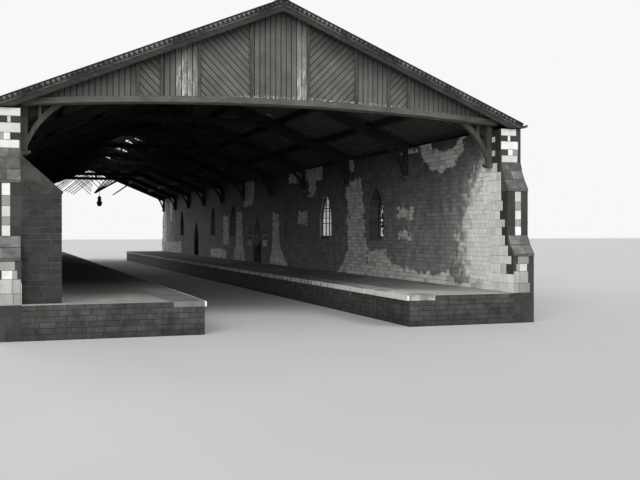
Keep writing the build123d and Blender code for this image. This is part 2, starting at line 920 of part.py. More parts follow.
# The panels of upright boards in the near gable: the middle one and the second on each side
half_stud = gable_stud_width / 2
board_back = gable_face - gable_stud_thickness
middle_panel_edge = gable_panel_edges[0] - half_stud
with BuildPart() as upright_panels:
    with BuildSketch(Plane.XZ.offset(board_back)):
        with BuildLine():
            Polyline(
                (-middle_panel_edge, beam_top(middle_panel_edge)),
                (-middle_panel_edge, roof_under(middle_panel_edge)),
                (0, roof_under(0)),
                (middle_panel_edge, roof_under(middle_panel_edge)),
                (middle_panel_edge, beam_top(middle_panel_edge)),
            )
            ThreePointArc(
                (middle_panel_edge, beam_top(middle_panel_edge)),
                (0, beam_top(0)),
                (-middle_panel_edge, beam_top(middle_panel_edge)),
            )
        make_face()
    extrude(amount=-gable_board_thickness)
    with BuildSketch(Plane.XZ.offset(board_back)):
        add(
            gable_panel_face(
                gable_panel_edges[1] + half_stud, gable_panel_edges[2] - half_stud
            )
        )
        add(gable_panel_face(gable_panel_edges[3] + half_stud, half_hall))
        mirror(about=Plane.YZ)
    extrude(amount=-gable_board_thickness)
upright_panels.part.label = "upright_panels"
export_step(upright_panels.part, "parts/upright_panels.step")

# The panels of slanting boards between them
with BuildPart() as slanting_panels:
    with BuildSketch(Plane.XZ.offset(board_back)):
        add(
            gable_panel_face(
                gable_panel_edges[0] + half_stud, gable_panel_edges[1] - half_stud
            )
        )
        add(
            gable_panel_face(
                gable_panel_edges[2] + half_stud, gable_panel_edges[3] - half_stud
            )
        )
        mirror(about=Plane.YZ)
    extrude(amount=-gable_board_thickness)
slanting_panels.part.label = "slanting_panels"
export_step(slanting_panels.part, "parts/slanting_panels.step")

# The studs that show between the panels
with BuildPart() as gable_studs:
    with BuildSketch(Plane.XZ.offset(gable_face)):
        for edge in gable_panel_edges:
            add(gable_panel_face(edge - half_stud, edge + half_stud))
        mirror(about=Plane.YZ)
    extrude(amount=-gable_stud_thickness - gable_board_thickness)
gable_studs.part.label = "gable_studs"
export_step(gable_studs.part, "parts/gable_studs.step")

# The barge boards, which cover the roof's edges and are cut level at the eaves plates
barge_top = ridge_top - barge_set_down
barge_foot = wall_top + eaves_plate_depth
barge_toe = (barge_top - barge_depth - barge_foot) / roof_fall
with BuildPart() as barge_boards_near:
    with BuildSketch(Plane.XZ.offset(verge)):
        with BuildLine():
            Polyline(
                (0, barge_top),
                (eaves, barge_top - roof_fall * eaves),
                (eaves, barge_foot),
                (barge_toe, barge_foot),
                (0, barge_top - barge_depth),
                close=True,
            )
        make_face()
        mirror(about=Plane.YZ)
    extrude(amount=barge_thickness)
barge_boards_near.part.label = "barge_boards_near"
export_step(barge_boards_near.part, "parts/barge_boards_near.step")

with BuildPart() as barge_boards_far:
    mirror(barge_boards_near.part, about=Plane.XZ)
barge_boards_far.part.label = "barge_boards_far"
export_step(barge_boards_far.part, "parts/barge_boards_far.step")

# What is left of the far gable's boards: slats that hang from the last principal rafters
slat_half_width = slat_width / 2
with BuildPart() as far_gable_slats:
    with BuildSketch(Plane.XZ.offset(-frame_inside)):
        for start, count, lean in (
            (left_slats_start, left_slat_count, slat_lean),
            (right_slats_start, right_slat_count, -slat_lean),
        ):
            for number in range(count):
                head = start + number * slat_spacing
                left = head - slat_half_width
                right = head + slat_half_width
                foot_shift = -lean * slat_drop
                with BuildLine():
                    Polyline(
                        (left, principal_top(left)),
                        (right, principal_top(right)),
                        (right + foot_shift, principal_top(right) - slat_drop),
                        (left + foot_shift, principal_top(left) - slat_drop),
                        close=True,
                    )
                make_face()
    extrude(amount=-slat_thickness)
far_gable_slats.part.label = "far_gable_slats"
export_step(far_gable_slats.part, "parts/far_gable_slats.step")

# A broken board that still hangs across the far gable
loose_board_bottom = principal_top(loose_board_head) - loose_board_drop
with BuildPart() as loose_board:
    with BuildSketch(Plane.XZ.offset(-frame_inside)):
        with BuildLine():
            Polyline(
                (loose_board_head - slat_width, principal_top(loose_board_head - slat_width)),
                (loose_board_head + slat_width, principal_top(loose_board_head + slat_width)),
                (loose_board_foot + slat_width, loose_board_bottom),
                (loose_board_foot - slat_width, loose_board_bottom),
                close=True,
            )
        make_face()
    extrude(amount=-slat_thickness)
loose_board.part.label = "loose_board"
export_step(loose_board.part, "parts/loose_board.step")

# The lamp: a faceted globe below, then a hood, a chimney and its cap
hood_bottom = lamp_bottom + lamp_hood_height
hood_rim = hood_bottom + lamp_hood_edge
hood_top = hood_rim + lamp_hood_depth
lamp_top = lamp_bottom + lamp_height
chimney_top = lamp_top - lamp_cap_height
globe_middle = lamp_bottom + lamp_globe_radius
globe_belt = globe_middle - lamp_globe_belt_drop
lamp_stages = (
    (lamp_bottom, globe_belt, lamp_globe_foot_radius, lamp_globe_belt_radius),
    (globe_belt, globe_middle, lamp_globe_belt_radius, lamp_globe_radius),
    (globe_middle, hood_bottom, lamp_globe_radius, lamp_globe_belt_radius),
    (hood_bottom, hood_rim, lamp_hood_radius, lamp_hood_radius),
    (hood_rim, hood_top, lamp_hood_radius, lamp_chimney_radius),
    (hood_top, chimney_top, lamp_chimney_radius, lamp_chimney_radius),
    (chimney_top, lamp_top, lamp_chimney_radius, lamp_neck_radius),
)
with BuildPart() as hanging_lamp:
    for low, high, low_radius, high_radius in lamp_stages:
        with BuildSketch(Plane.XY.offset(low)):
            with Locations((0, lamp_place)):
                RegularPolygon(low_radius, lamp_sides, major_radius=False)
        extrude(amount=high - low, taper=degrees(atan2(low_radius - high_radius, high - low)))
hanging_lamp.part.label = "hanging_lamp"
export_step(hanging_lamp.part, "parts/hanging_lamp.step")

with BuildPart() as lamp_rod:
    with BuildSketch(Plane.XY.offset(lamp_top)):
        with Locations((0, lamp_place)):
            RegularPolygon(lamp_rod_radius, lamp_sides)
    extrude(amount=principal_top(0) - lamp_top)
lamp_rod.part.label = "lamp_rod"
export_step(lamp_rod.part, "parts/lamp_rod.step")
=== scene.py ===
# %% [markdown]
# # A derelict railway train shed
#
# The construction is already there as solid pieces: walls, piers, platforms, roof timbers and
# gables. This notebook dresses them. Stones, slates, boards, window bars and broken edges are made
# as small meshes on the solids, and every surface gets a finish that is worked out by shader nodes.
# All lengths are metres of the 1:2 model. X runs across the shed, Y along it, and Z is up.

import random
from math import acos, cos, floor, radians, sin, sqrt, tan

import bpy
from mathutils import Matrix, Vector


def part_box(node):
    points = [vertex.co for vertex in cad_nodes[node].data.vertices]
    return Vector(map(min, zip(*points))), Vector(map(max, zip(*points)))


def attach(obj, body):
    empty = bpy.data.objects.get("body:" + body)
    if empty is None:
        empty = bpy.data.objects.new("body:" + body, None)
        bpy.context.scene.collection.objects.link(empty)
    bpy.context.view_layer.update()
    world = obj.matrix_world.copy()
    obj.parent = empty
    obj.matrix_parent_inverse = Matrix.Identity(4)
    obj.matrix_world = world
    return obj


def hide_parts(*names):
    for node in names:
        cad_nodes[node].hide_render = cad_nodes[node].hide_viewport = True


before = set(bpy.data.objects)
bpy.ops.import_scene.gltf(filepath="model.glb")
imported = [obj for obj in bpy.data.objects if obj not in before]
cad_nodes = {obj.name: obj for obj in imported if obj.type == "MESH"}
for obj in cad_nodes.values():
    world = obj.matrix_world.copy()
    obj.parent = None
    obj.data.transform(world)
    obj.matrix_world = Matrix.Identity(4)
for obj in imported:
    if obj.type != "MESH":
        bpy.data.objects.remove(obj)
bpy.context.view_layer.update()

# %% [markdown]
# ## Sizes that the pieces share
#
# Most places can be read from the frame itself, so that a piece stays where the solid is. Only
# such sizes as those of the openings and the slope of the roof are written down again.

# %% Read the main sizes from the frame
WALL_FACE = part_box("wall_posts")[1].x
OUTER_FACE, WALL_END, WALL_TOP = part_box("wall_heads")[1]
EAVES, VERGE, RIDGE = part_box("roof_slope_right")[1]
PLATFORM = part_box("wall_footings")[1].z
PIER_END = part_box("end_piers")[1].y
ROOF_SLOPE = radians(22.6)
ROOF_FALL = tan(ROOF_SLOPE)
print("hall", 2 * WALL_FACE, "long", 2 * WALL_END, "ridge", round(RIDGE, 3))

# %% [markdown]
# ## The camera
#
# The photograph was taken from the left platform, looking along the hall and turned to the right.
# A camera is placed by where the eye was, by its turn about the vertical, and by its lens. The
# picture's frame was shifted a little so that the horizon lies above the middle, and a shift of
# the lens does the same without tilting the uprights.

# %% Place the camera
EYE = Vector((-3.66, -WALL_END - 12.14, 1.355))
TURN_RIGHT = radians(19.16)
FOCAL_PIXELS = 900
PICTURE_WIDTH = 640
HORIZON_ABOVE_MIDDLE = 7.5
SENSOR = 36

camera = bpy.data.cameras.new("eye")
camera.sensor_width = SENSOR
camera.lens = FOCAL_PIXELS / PICTURE_WIDTH * SENSOR
camera.shift_y = -HORIZON_ABOVE_MIDDLE / PICTURE_WIDTH
camera.clip_end = 400
viewer = bpy.data.objects.new("eye", camera)
viewer.location = EYE
viewer.rotation_euler = (radians(90), 0, -TURN_RIGHT)
bpy.context.scene.collection.objects.link(viewer)
bpy.context.scene.camera = viewer
bpy.context.scene.view_settings.view_transform = "Standard"
print("camera at", tuple(round(v, 2) for v in EYE), "lens", round(camera.lens, 1))

# %% [markdown]
# ## Shader maths as Python
#
# A material is a graph of nodes. Building it by hand takes a line for each node and each link, so
# one small class wraps a socket and overloads the arithmetic operators: `1 - mask * 0.5` then adds
# the Math nodes by itself. A second class adds any other node with a single method: its type, its
# settings, and what goes into its sockets. A third adds the patterns that all the materials share.

# %% Wrap sockets, node trees and materials
WARM_WHITE = (1.0, 0.985, 0.95)


def operator(operation, reflected=False):
    """A method for one sign of arithmetic; a reflected one has the other value on its left."""

    def method(self, other=0.0):
        first, second = (other, self) if reflected else (self, other)
        return self.tree.node("ShaderNodeMath", {"operation": operation}, {0: first, 1: second})

    return method


class Signal:
    """A shader value that can be used in arithmetic."""

    def __init__(self, tree, socket):
        self.tree = tree
        self.socket = socket

    __add__ = operator("ADD")
    __radd__ = operator("ADD", reflected=True)
    __sub__ = operator("SUBTRACT")
    __rsub__ = operator("SUBTRACT", reflected=True)
    __mul__ = operator("MULTIPLY")
    __rmul__ = operator("MULTIPLY", reflected=True)
    __truediv__ = operator("DIVIDE")
    __abs__ = operator("ABSOLUTE")


class NodeTree:
    """The nodes of a material or a world, all added by one method."""

    def __init__(self, owner):
        owner.use_nodes = True
        self.nodes = owner.node_tree.nodes
        self.links = owner.node_tree.links

    def plug(self, node, sockets):
        """Links each signal to its socket, and sets the numbers and colours."""
        for name, value in sockets.items():
            if isinstance(value, Signal):
                self.links.new(value.socket, node.inputs[name])
            else:
                node.inputs[name].default_value = value

    def node(self, kind, settings=None, sockets=None, output=0):
        made = self.nodes.new(kind)
        for name, value in (settings or {}).items():
            setattr(made, name, value)
        self.plug(made, sockets or {})
        return Signal(self, made.outputs[output])


class Finish(NodeTree):
    """One material."""

    def __init__(self, name, roughness=0.9, specular=0.3):
        self.material = bpy.data.materials.new(name)
        super().__init__(self.material)
        self.use("Roughness", roughness)
        self.use("Specular IOR Level", specular)

    def use(self, name, value):
        self.plug(self.nodes["Principled BSDF"], {name: value})

    def place(self):
        """The point on the surface, in the frame's own metres."""
        return self.node("ShaderNodeTexCoord", output="Object")

    def axis(self, name):
        return self.node("ShaderNodeSeparateXYZ", None, {0: self.place()}, name)

    def noise(self, scale, detail=4.0, stretch=(1, 1, 1), roughness=0.55):
        """A cloudy pattern; a small number in stretch draws it out along that axis."""
        sockets = {0: self.place(), 1: stretch}
        place = self.node("ShaderNodeVectorMath", {"operation": "MULTIPLY"}, sockets)
        sockets = {"Vector": place, "Scale": scale, "Detail": detail, "Roughness": roughness}
        return self.node("ShaderNodeTexNoise", None, sockets)

    def between(self, signal, low, high, smooth=True):
        """0 below low, 1 above high, and a ramp between them."""
        settings = {"interpolation_type": "SMOOTHSTEP" if smooth else "LINEAR"}
        return self.node("ShaderNodeMapRange", settings, {0: signal, 1: low, 2: high})

    def carried(self, name):
        """A number that was stored on the mesh for each small part."""
        return self.node("ShaderNodeAttribute", {"attribute_name": name}, None, "Fac")

    def blend(self, share, first, second):
        """Mixes two colours, each a signal or three numbers."""
        first, second = (c if isinstance(c, Signal) else (*c, 1) for c in (first, second))
        sockets = {0: share, 6: first, 7: second}
        return self.node("ShaderNodeMix", {"data_type": "RGBA"}, sockets, 2)

    def tinted(self, level, tint=WARM_WHITE):
        """The colour of a brightness, where 1 is the tint itself."""
        return self.blend(level, (0, 0, 0), tint)

    def relief(self, height, depth, strength=0.6):
        """Turns a height of 0 to 1 into a bump as deep as depth."""
        sockets = {"Height": height, "Distance": depth, "Strength": strength}
        self.use("Normal", self.node("ShaderNodeBump", None, sockets))


print("shader helpers ready")

# %% [markdown]
# ## Floor, sky and lamps
#
# The object stands alone on a plain pale floor under even light. The background is white only to
# the eye: the Light Path node tells camera rays, and rays seen in glass or gloss, from the rays
# that light the walls, so the object isn't washed out by a bright sky. Two soft suns light it from
# both sides, and two low ones send light along the hall from its open ends, as a bright cloudy sky
# near the horizon does.

# %% Set the stage
FLOOR_HALF = 150
SKY_LIGHT = 0.5
SQUARE = ((-1, -1), (1, -1), (1, 1), (-1, 1))


def make_floor():
    mesh = bpy.data.meshes.new("floor")
    corners = [Vector((x, y, 0)) * FLOOR_HALF for x, y in SQUARE]
    mesh.from_pydata(corners, [], [(0, 1, 2, 3)])
    floor = bpy.data.objects.new("floor", mesh)
    bpy.context.scene.collection.objects.link(floor)
    finish = Finish("pale_floor", roughness=0.95, specular=0.1)
    cloud = finish.noise(0.4, 2)
    finish.use("Base Color", finish.blend(cloud, (0.60, 0.60, 0.59), (0.66, 0.66, 0.65)))
    mesh.materials.append(finish.material)


def light_sky():
    world = bpy.data.worlds.new("sky")
    bpy.context.scene.world = world
    sky = NodeTree(world)
    rays = ("Is Camera Ray", "Is Glossy Ray", "Is Transmission Ray")
    seen, glossy, through = (sky.node("ShaderNodeLightPath", output=ray) for ray in rays)
    sockets = {"Value": seen + glossy + through, "To Min": SKY_LIGHT, "To Max": 1.0}
    strength = sky.node("ShaderNodeMapRange", None, sockets)
    sockets = {"Color": (0.93, 0.94, 0.95, 1), "Strength": strength}
    sky.plug(sky.nodes["Background"], sockets)


def hang_sun(name, direction, strength, softness):
    light = bpy.data.lights.new(name, "SUN")
    light.energy = strength
    light.angle = radians(softness)
    lamp = bpy.data.objects.new(name, light)
    lamp.rotation_euler = Vector(direction).to_track_quat("-Z", "Y").to_euler()
    bpy.context.scene.collection.objects.link(lamp)


make_floor()
light_sky()
hang_sun("from_the_left", (0.55, 0.72, -0.48), 1.45, 35)
hang_sun("from_the_right", (-0.60, 0.60, -0.55), 1.15, 25)
hang_sun("along_the_hall", (0.30, 1.0, -0.09), 1.0, 22)
hang_sun("from_the_far_end", (0.35, -1.0, -0.12), 1.2, 25)
print("stage set")

# %% [markdown]
# ## One mesh from many small parts
#
# A roof has thousands of slates. As separate objects they would be slow, so a `Heap` gathers the
# corners and faces of all parts of one kind and makes a single mesh. It can also store a number
# for each part, such as how pale a stone is, which a shader reads back with an Attribute node.

# %% Gather small parts into one mesh
class Heap:
    """Corners, faces and carried numbers of many small parts."""

    def __init__(self, *carried):
        self.corners = []
        self.faces = []
        self.carried = {name: [] for name in carried}

    def add(self, corners, faces, **numbers):
        """Adds one convex part, with its faces turned away from its middle."""
        first = len(self.corners)
        middle = sum(corners, Vector()) / len(corners)
        a, b, c = (corners[i] for i in faces[0][:3])
        if (b - a).cross(c - a).dot(a - middle) < 0:
            faces = [face[::-1] for face in faces]
        self.corners.extend(corners)
        self.faces.extend(tuple(first + i for i in face) for face in faces)
        for name, column in self.carried.items():
            number = numbers.get(name, 0.0)
            column.extend(number if isinstance(number, list) else [number] * len(corners))

    def sweep(self, point, ends, outline, **numbers):
        """Adds the solid between two ends, where point(end, *corner) places each corner."""
        near, far = ([point(end, *corner) for corner in outline] for end in ends)
        count = len(near)
        faces = [(i, (i + 1) % count, (i + 1) % count + count, i + count) for i in range(count)]
        faces.append(tuple(reversed(range(count))))
        faces.append(tuple(range(count, 2 * count)))
        self.add([*near, *far], faces, **numbers)

    def bar(self, start, end, across, through, **numbers):
        """Adds a square bar between two points; across and through are its half sides."""
        self.sweep(
            lambda spot, a, b: spot + across * a + through * b, (start, end), SQUARE, **numbers
        )

    def make(self, name, finish, slot, *replaces):
        mesh = bpy.data.meshes.new(name)
        mesh.from_pydata(self.corners, [], self.faces)
        for carried, column in self.carried.items():
            layer = mesh.attributes.new(carried, "FLOAT", "POINT")
            layer.data.foreach_set("value", column)
        add_piece(mesh, name, finish, slot, *replaces)


def add_piece(mesh, name, finish, slot, *replaces):
    """Puts a mesh in the scene as a piece of the building."""
    mesh.materials.append(finish.material)
    piece = bpy.data.objects.new(name, mesh)
    bpy.context.scene.collection.objects.link(piece)
    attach(piece, "root")
    if replaces:
        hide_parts(*replaces)
    print(name, len(mesh.polygons), "faces")


# %% [markdown]
# ## The finish of sooty timber
#
# Wood is drawn by noise that is stretched along the grain. Smoke from the engines has blackened
# the roof timbers, so the base is nearly black, with a few paler worn streaks.

# %% Timber finishes
ACROSS_GRAIN = 90
ALONG_GRAIN = 0.05


def timber_finish(name, dark, pale, grain, depth=0.002, raised=None):
    """Wood with its grain along one axis: 0, 1 or 2, and a painted highlight colour for its raised
    parts.
    """
    finish = Finish(name, roughness=0.85)
    stretch = [1.0, 1.0, 1.0]
    stretch[grain] = ALONG_GRAIN
    streaks = finish.noise(ACROSS_GRAIN, 6, stretch, 0.65)
    stains = finish.noise(3, 3)
    share = finish.between(streaks * 0.7 + stains * 0.3, 0.35, 0.7)
    wood = finish.blend(share, dark, pale)
    if raised:
        # painted highlight: raised carving is drawn paler, as if it caught the light
        worn = finish.carried("raised") * finish.between(stains + streaks * 0.6, 0.60, 0.95)
        wood = finish.blend(worn, wood, raised)
    finish.use("Base Color", wood)
    finish.use("Roughness", 0.9 - share * 0.15)
    finish.relief(streaks, depth)
    return finish


SOOT_BLACK = (0.011, 0.010, 0.009)
SOOT_BROWN = (0.034, 0.032, 0.029)
DUSTY_DARK = (0.060, 0.057, 0.052)
DUSTY_PALE = (0.140, 0.132, 0.120)
batten_wood = timber_finish("dusty_battens", DUSTY_DARK, DUSTY_PALE, 1)
rafter_wood = timber_finish("dusty_rafters", DUSTY_DARK, DUSTY_PALE, 0)
roof_wood_long = timber_finish("sooty_timber_lengthwise", SOOT_BLACK, SOOT_BROWN, 1)
roof_wood_cross = timber_finish("sooty_timber_crosswise", SOOT_BLACK, SOOT_BROWN, 0)
roof_wood_upright = timber_finish("sooty_timber_upright", SOOT_BLACK, SOOT_BROWN, 2)
gable_wood = timber_finish("weathered_gable_frame", (0.050, 0.048, 0.044), (0.135, 0.13, 0.12), 0)
post_wood = timber_finish("weathered_gable_posts", (0.035, 0.032, 0.028), (0.10, 0.095, 0.085), 2)

# %% [markdown]
# ## Slates, battens and common rafters
#
# The solid roof slope is one slab. Here it becomes what it stands for: rows of slates with lapped
# tails, the battens that they hang on, and the common rafters. Where slates have slipped or blown
# off near the ridge, the sky shows between the battens. Every slate is a thin box that is tilted
# by the one below it, with a little disorder from a seeded random source.

# %% Lay the slates
SLATE_GAUGE = 0.105
SLATE_LENGTH = 0.138
SLATE_WIDTH = 0.15
SLATE_THICKNESS = 0.005
SLATE_HEAD_DEPTH = 0.012
SLATE_GAP = 0.0015
SLATE_DRIFT = 0.006
SLATE_SKEW = 0.004
SLATE_LIFT = 0.0015
SLIPPED_SHARE = 0.008
SLIPPED_REACH = 0.035
BATTEN_WIDTH = 0.025
BATTEN_DEPTH = 0.012
BATTEN_LENGTHS = (2.2, 3.4)
BATTEN_SAG = 0.002
RAFTER_WIDTH = 0.036
RAFTER_SPACING = 0.2
ROOF_DEPTH = 0.076
RIDGE_COVER = 0.03
SLOPE_LENGTH = EAVES / cos(ROOF_SLOPE)
SLATE_ROWS = int(SLOPE_LENGTH / SLATE_GAUGE) + 1
# for each side: from and to along the shed, then top and foot down the slope
HOLES = {1: (1.2, 12.8, 0.06, 0.66), -1: (-1.4, 5.6, 0.10, 0.95)}
HOLE_BAY = 1.4
HOLE_BAR = 0.30
LOST_IN_HOLE = 0.80
LOST_ELSEWHERE = 0.004


def on_slope(side, down, along, depth):
    """A point on a roof slope: down it from the ridge, along the shed, and under its surface."""
    x = side * (down * cos(ROOF_SLOPE) - depth * sin(ROOF_SLOPE))
    return Vector((x, along, RIDGE - down * sin(ROOF_SLOPE) - depth * cos(ROOF_SLOPE)))


def in_open_bay(side, along):
    """Whether a place along the roof lies in a hole, between the timbers that are left."""
    low, high = HOLES[side][:2]
    return low < along < high and (along - low) % HOLE_BAY > HOLE_BAR


def slate_is_missing(side, down, along, chance):
    """Most slates of an open bay are gone as far as a ragged edge, and a few elsewhere."""
    top, foot = HOLES[side][2:]
    ragged = foot * (0.72 + 0.28 * sin(along * 2.3) * sin(along * 5.1))
    in_hole = in_open_bay(side, along) and top < down < ragged
    return chance < (LOST_IN_HOLE if in_hole else LOST_ELSEWHERE)


def lay_slates(side, name, node):
    draw = random.Random(71 + side)
    heap = Heap("tone", "lichen")
    for row in range(SLATE_ROWS):
        head = row * SLATE_GAUGE
        tail = min(head + SLATE_LENGTH, SLOPE_LENGTH)
        if tail - head < SLATE_LENGTH / 2:
            continue
        start = -VERGE - (SLATE_WIDTH / 2 if row % 2 else 0)
        while start < VERGE:
            low = max(start, -VERGE)
            high = min(start + SLATE_WIDTH, VERGE)
            start += SLATE_WIDTH
            chance, slip, skew, lift, tone = (draw.random() for _ in range(5))
            middle = (head + SLATE_GAUGE / 2, low + SLATE_WIDTH / 2)
            if high - low < SLATE_WIDTH / 5 or slate_is_missing(side, *middle, chance):
                continue
            shift = SLIPPED_REACH if slip > 1 - SLIPPED_SHARE else (slip - 0.5) * SLATE_DRIFT
            shift = min(shift, SLOPE_LENGTH - tail)
            turn = (skew - 0.5) * SLATE_SKEW
            tail_depth = SLATE_THICKNESS + SLATE_LIFT - lift * SLATE_LIFT
            outline = (
                (head + shift, low + SLATE_GAP, SLATE_HEAD_DEPTH),
                (head + shift, high - SLATE_GAP, SLATE_HEAD_DEPTH),
                (tail + shift + turn, high - SLATE_GAP, tail_depth),
                (tail + shift - turn, low + SLATE_GAP, tail_depth),
            )
            heap.sweep(
                lambda over, down, along, depth: on_slope(side, down, along, depth - over),
                (0.0, SLATE_THICKNESS), outline, tone=tone, lichen=draw.random(),
            )
    heap.make(name, slate_finish, "slate", node)


def slate_finish_nodes():
    finish = Finish("riven_slate", roughness=0.55, specular=0.4)
    tone = finish.carried("tone")
    cloud = finish.noise(26, 5)
    drift = finish.noise(0.9, 4)
    shade = finish.between(tone * 0.34 + cloud * 0.3 + drift * 0.5, 0.25, 0.95, False)
    slate = finish.blend(shade, (0.045, 0.048, 0.054), (0.135, 0.138, 0.142))
    growth = finish.noise(60, 4) * 0.7 + finish.carried("lichen") * 0.14 + drift * 0.25
    spots = finish.between(growth, 0.58, 0.68)
    finish.use("Base Color", finish.blend(spots * 0.5, slate, (0.28, 0.28, 0.24)))
    finish.use("Roughness", 0.5 + cloud * 0.3)
    finish.relief(finish.noise(45, 6, roughness=0.7), 0.0015)
    return finish


slate_finish = slate_finish_nodes()
lay_slates(1, "slates_right", "roof_slope_right")
lay_slates(-1, "slates_left", "roof_slope_left")

# %% Nail the battens to the common rafters
def lay_battens():
    heap = Heap()
    draw = random.Random(5)
    for side in (1, -1):
        for row in range(SLATE_ROWS):
            middle = row * SLATE_GAUGE + BATTEN_WIDTH / 2 + 0.004

            def corner(end, across, under):
                along, sag = end
                down = middle + across * BATTEN_WIDTH / 2 + sag
                return on_slope(side, down, along, SLATE_HEAD_DEPTH + under * BATTEN_DEPTH)

            start = -VERGE + 0.01
            while start < VERGE - 0.02:
                stop = min(start + draw.uniform(*BATTEN_LENGTHS), VERGE - 0.01)
                ends = [(y, draw.uniform(-BATTEN_SAG, BATTEN_SAG)) for y in (start, stop)]
                heap.sweep(corner, ends, ((-1, 0), (1, 0), (1, 1), (-1, 1)))
                start = stop + 0.002
    heap.make("roof_battens", batten_wood, "old_timber")


def lay_common_rafters():
    heap = Heap()
    count = int(2 * VERGE / RAFTER_SPACING)
    top = SLATE_HEAD_DEPTH + BATTEN_DEPTH
    section = ((-1, top), (1, top), (1, ROOF_DEPTH), (-1, ROOF_DEPTH))
    for side in (1, -1):
        for number in range(count + 1):
            along = -VERGE + RAFTER_WIDTH / 2 + number * (2 * VERGE - RAFTER_WIDTH) / count
            head = RIDGE_COVER
            if in_open_bay(side, along):
                head = HOLES[side][3] + 0.05 + 0.08 * sin(along * 37)
            heap.sweep(
                lambda down, dt, depth: on_slope(side, down, along + dt * RAFTER_WIDTH / 2, depth),
                (head, SLOPE_LENGTH - 0.004), section,
            )
    heap.make("common_rafters", rafter_wood, "old_timber")


lay_battens()
lay_common_rafters()

# %% [markdown]
# ## Where the openings are
#
# Courses of stone have to stop at each window and doorway and follow its pointed arch. The arch is
# the equilateral one: each side is an arc whose centre lies at the foot of the other side. Its half
# width at any height follows from Pythagoras.

# %% Describe the openings
PITCH = 3.1
FIRST_OPENING = -10.85
# a width, the level of the sill and the level where the arch springs
WINDOW = (0.8, PLATFORM + 0.745, PLATFORM + 1.167)
DOORWAY = (0.9, PLATFORM, PLATFORM + 0.56)
SIDELIGHT = (0.5, PLATFORM + 0.44, PLATFORM + 0.65)
SIDELIGHT_OFFSET = 0.86
KINDS = ("deep", "flush", "blocked", "sidelit", "deep", "deep", "doorway", "deep")
DEEP_SETBACK = 0.235
FLUSH_SETBACK = 0.04


class Opening:
    """A pointed opening in a long wall."""

    def __init__(self, kind, place, size):
        self.kind = kind
        self.place = place
        self.width, self.sill, self.spring = size
        self.half = self.width / 2
        self.apex = self.spring + self.width * sin(radians(60))
        self.frame_face = WALL_FACE + (FLUSH_SETBACK if kind == "flush" else DEEP_SETBACK)

    def sides(self, at_foot, at_head):
        """The ends of a course at both sides, from the half widths at its foot and its head."""
        left = (self.place - at_foot, self.place - at_head)
        return left, (self.place + at_foot, self.place + at_head)

    def half_at(self, height, inset=0.0):
        """Half the width at a height, or 0 outside the opening."""
        if height < self.sill + inset:
            return 0.0
        if height <= self.spring:
            return self.half - inset
        reach = (self.width - inset) ** 2 - (height - self.spring) ** 2
        return max(0.0, sqrt(reach) - self.half) if reach > 0 else 0.0

    def outline(self, inset=0.0, steps=10):
        """Points round the opening, from the right foot over the arch to the left foot."""
        radius = self.width - inset
        sweep = acos(self.half / radius)
        points = [(self.half - inset, self.sill + inset)]
        for number in range(steps + 1):
            turn = sweep * number / steps
            points.append((radius * cos(turn) - self.half, self.spring + radius * sin(turn)))
        for across, height in reversed(points[:-1]):
            points.append((-across, height))
        return points


openings = []
for number, kind in enumerate(KINDS):
    place = FIRST_OPENING + number * PITCH
    openings.append(Opening(kind, place, DOORWAY if kind in ("sidelit", "doorway") else WINDOW))
    if kind == "sidelit":
        for offset in (-SIDELIGHT_OFFSET, SIDELIGHT_OFFSET):
            openings.append(Opening("sidelight", place + offset, SIDELIGHT))
openings.sort(key=lambda opening: opening.place)


def openings_of(*kinds):
    return [opening for opening in openings if opening.kind in kinds]
print(len(openings), "openings a wall")

# %% [markdown]
# ## How worn the walls are
#
# The inner walls were whitewashed. The wash is white by the open ends and turns grey and black
# deeper in and higher up. That is soot, and also painted shade and painted daylight, since less
# light reaches deep into the hall. Damp has thrown off pieces of it in ragged shapes that leave
# pale stone. Each
# wall stone carries four numbers: how pale its wash is, with that painted shade, how much of it is
# laid bare, how white it is, with painted daylight by the open ends, and its own tone. The shapes
# are told as plain boxes, slanted strips and ellipses, and the shader frays their edges.

# %% Tell where the wash is pale and where it has fallen
def oval_depth(y, z, middle_y, middle_z, half_y, half_z):
    """How far a point lies inside an ellipse; negative outside."""
    reach = sqrt(((y - middle_y) / half_y) ** 2 + ((z - middle_z) / half_z) ** 2)
    return (1 - reach) * min(half_y, half_z)


def slanted_depth(y, z, foot, head):
    """Depth inside a strip that runs from a foot (y0, y1, z) up to a head (y0, y1, z)."""
    share = (z - foot[2]) / (head[2] - foot[2])
    low = foot[0] + (head[0] - foot[0]) * share
    high = foot[1] + (head[1] - foot[1]) * share
    return min(y - low, high - y, z - foot[2], head[2] - z)


# from and to along the wall, then the lowest and highest level
BARE_BOXES = (
    (-12.70, -11.80, 2.83, 2.92),
    (-12.73, -11.98, 1.62, 1.83),
    (-12.52, -11.98, 1.22, 1.42),
    (-9.60, -9.10, 2.70, 2.97),
    (-11.37, -10.45, 0.50, 0.98),
    (-7.50, -4.80, 2.66, 2.97),
    (-7.00, -6.50, 2.25, 2.70),
    (-6.40, -5.60, 1.59, 1.91),
    (-1.20, 0.30, 2.50, 2.97),
    (2.20, 3.00, 0.94, 1.93),
    (3.00, 3.60, 0.45, 0.80),
    (2.50, 5.00, 0.44, 0.76),
    (11.0, 15.9, 0.44, 0.94),
    (13.3, 13.9, 1.90, 2.85),
)
BARE_STRIPS = (
    ((-10.50, -8.60, 0.44), (-10.25, -9.25, 0.95)),
    ((-10.40, -9.30, 0.90), (-10.10, -9.20, 1.75)),
    ((-10.25, -9.25, 1.70), (-10.00, -9.10, 2.52)),
    ((-4.70, -2.95, 0.44), (-4.10, -3.10, 0.90)),
    ((-3.95, -3.20, 0.88), (-3.80, -3.25, 1.88)),
    ((-1.00, 0.00, 2.20), (-1.20, 0.30, 2.60)),
    ((-0.10, 1.50, 0.44), (0.16, 1.17, 0.95)),
    ((0.16, 1.17, 0.90), (0.35, 1.05, 2.02)),
)
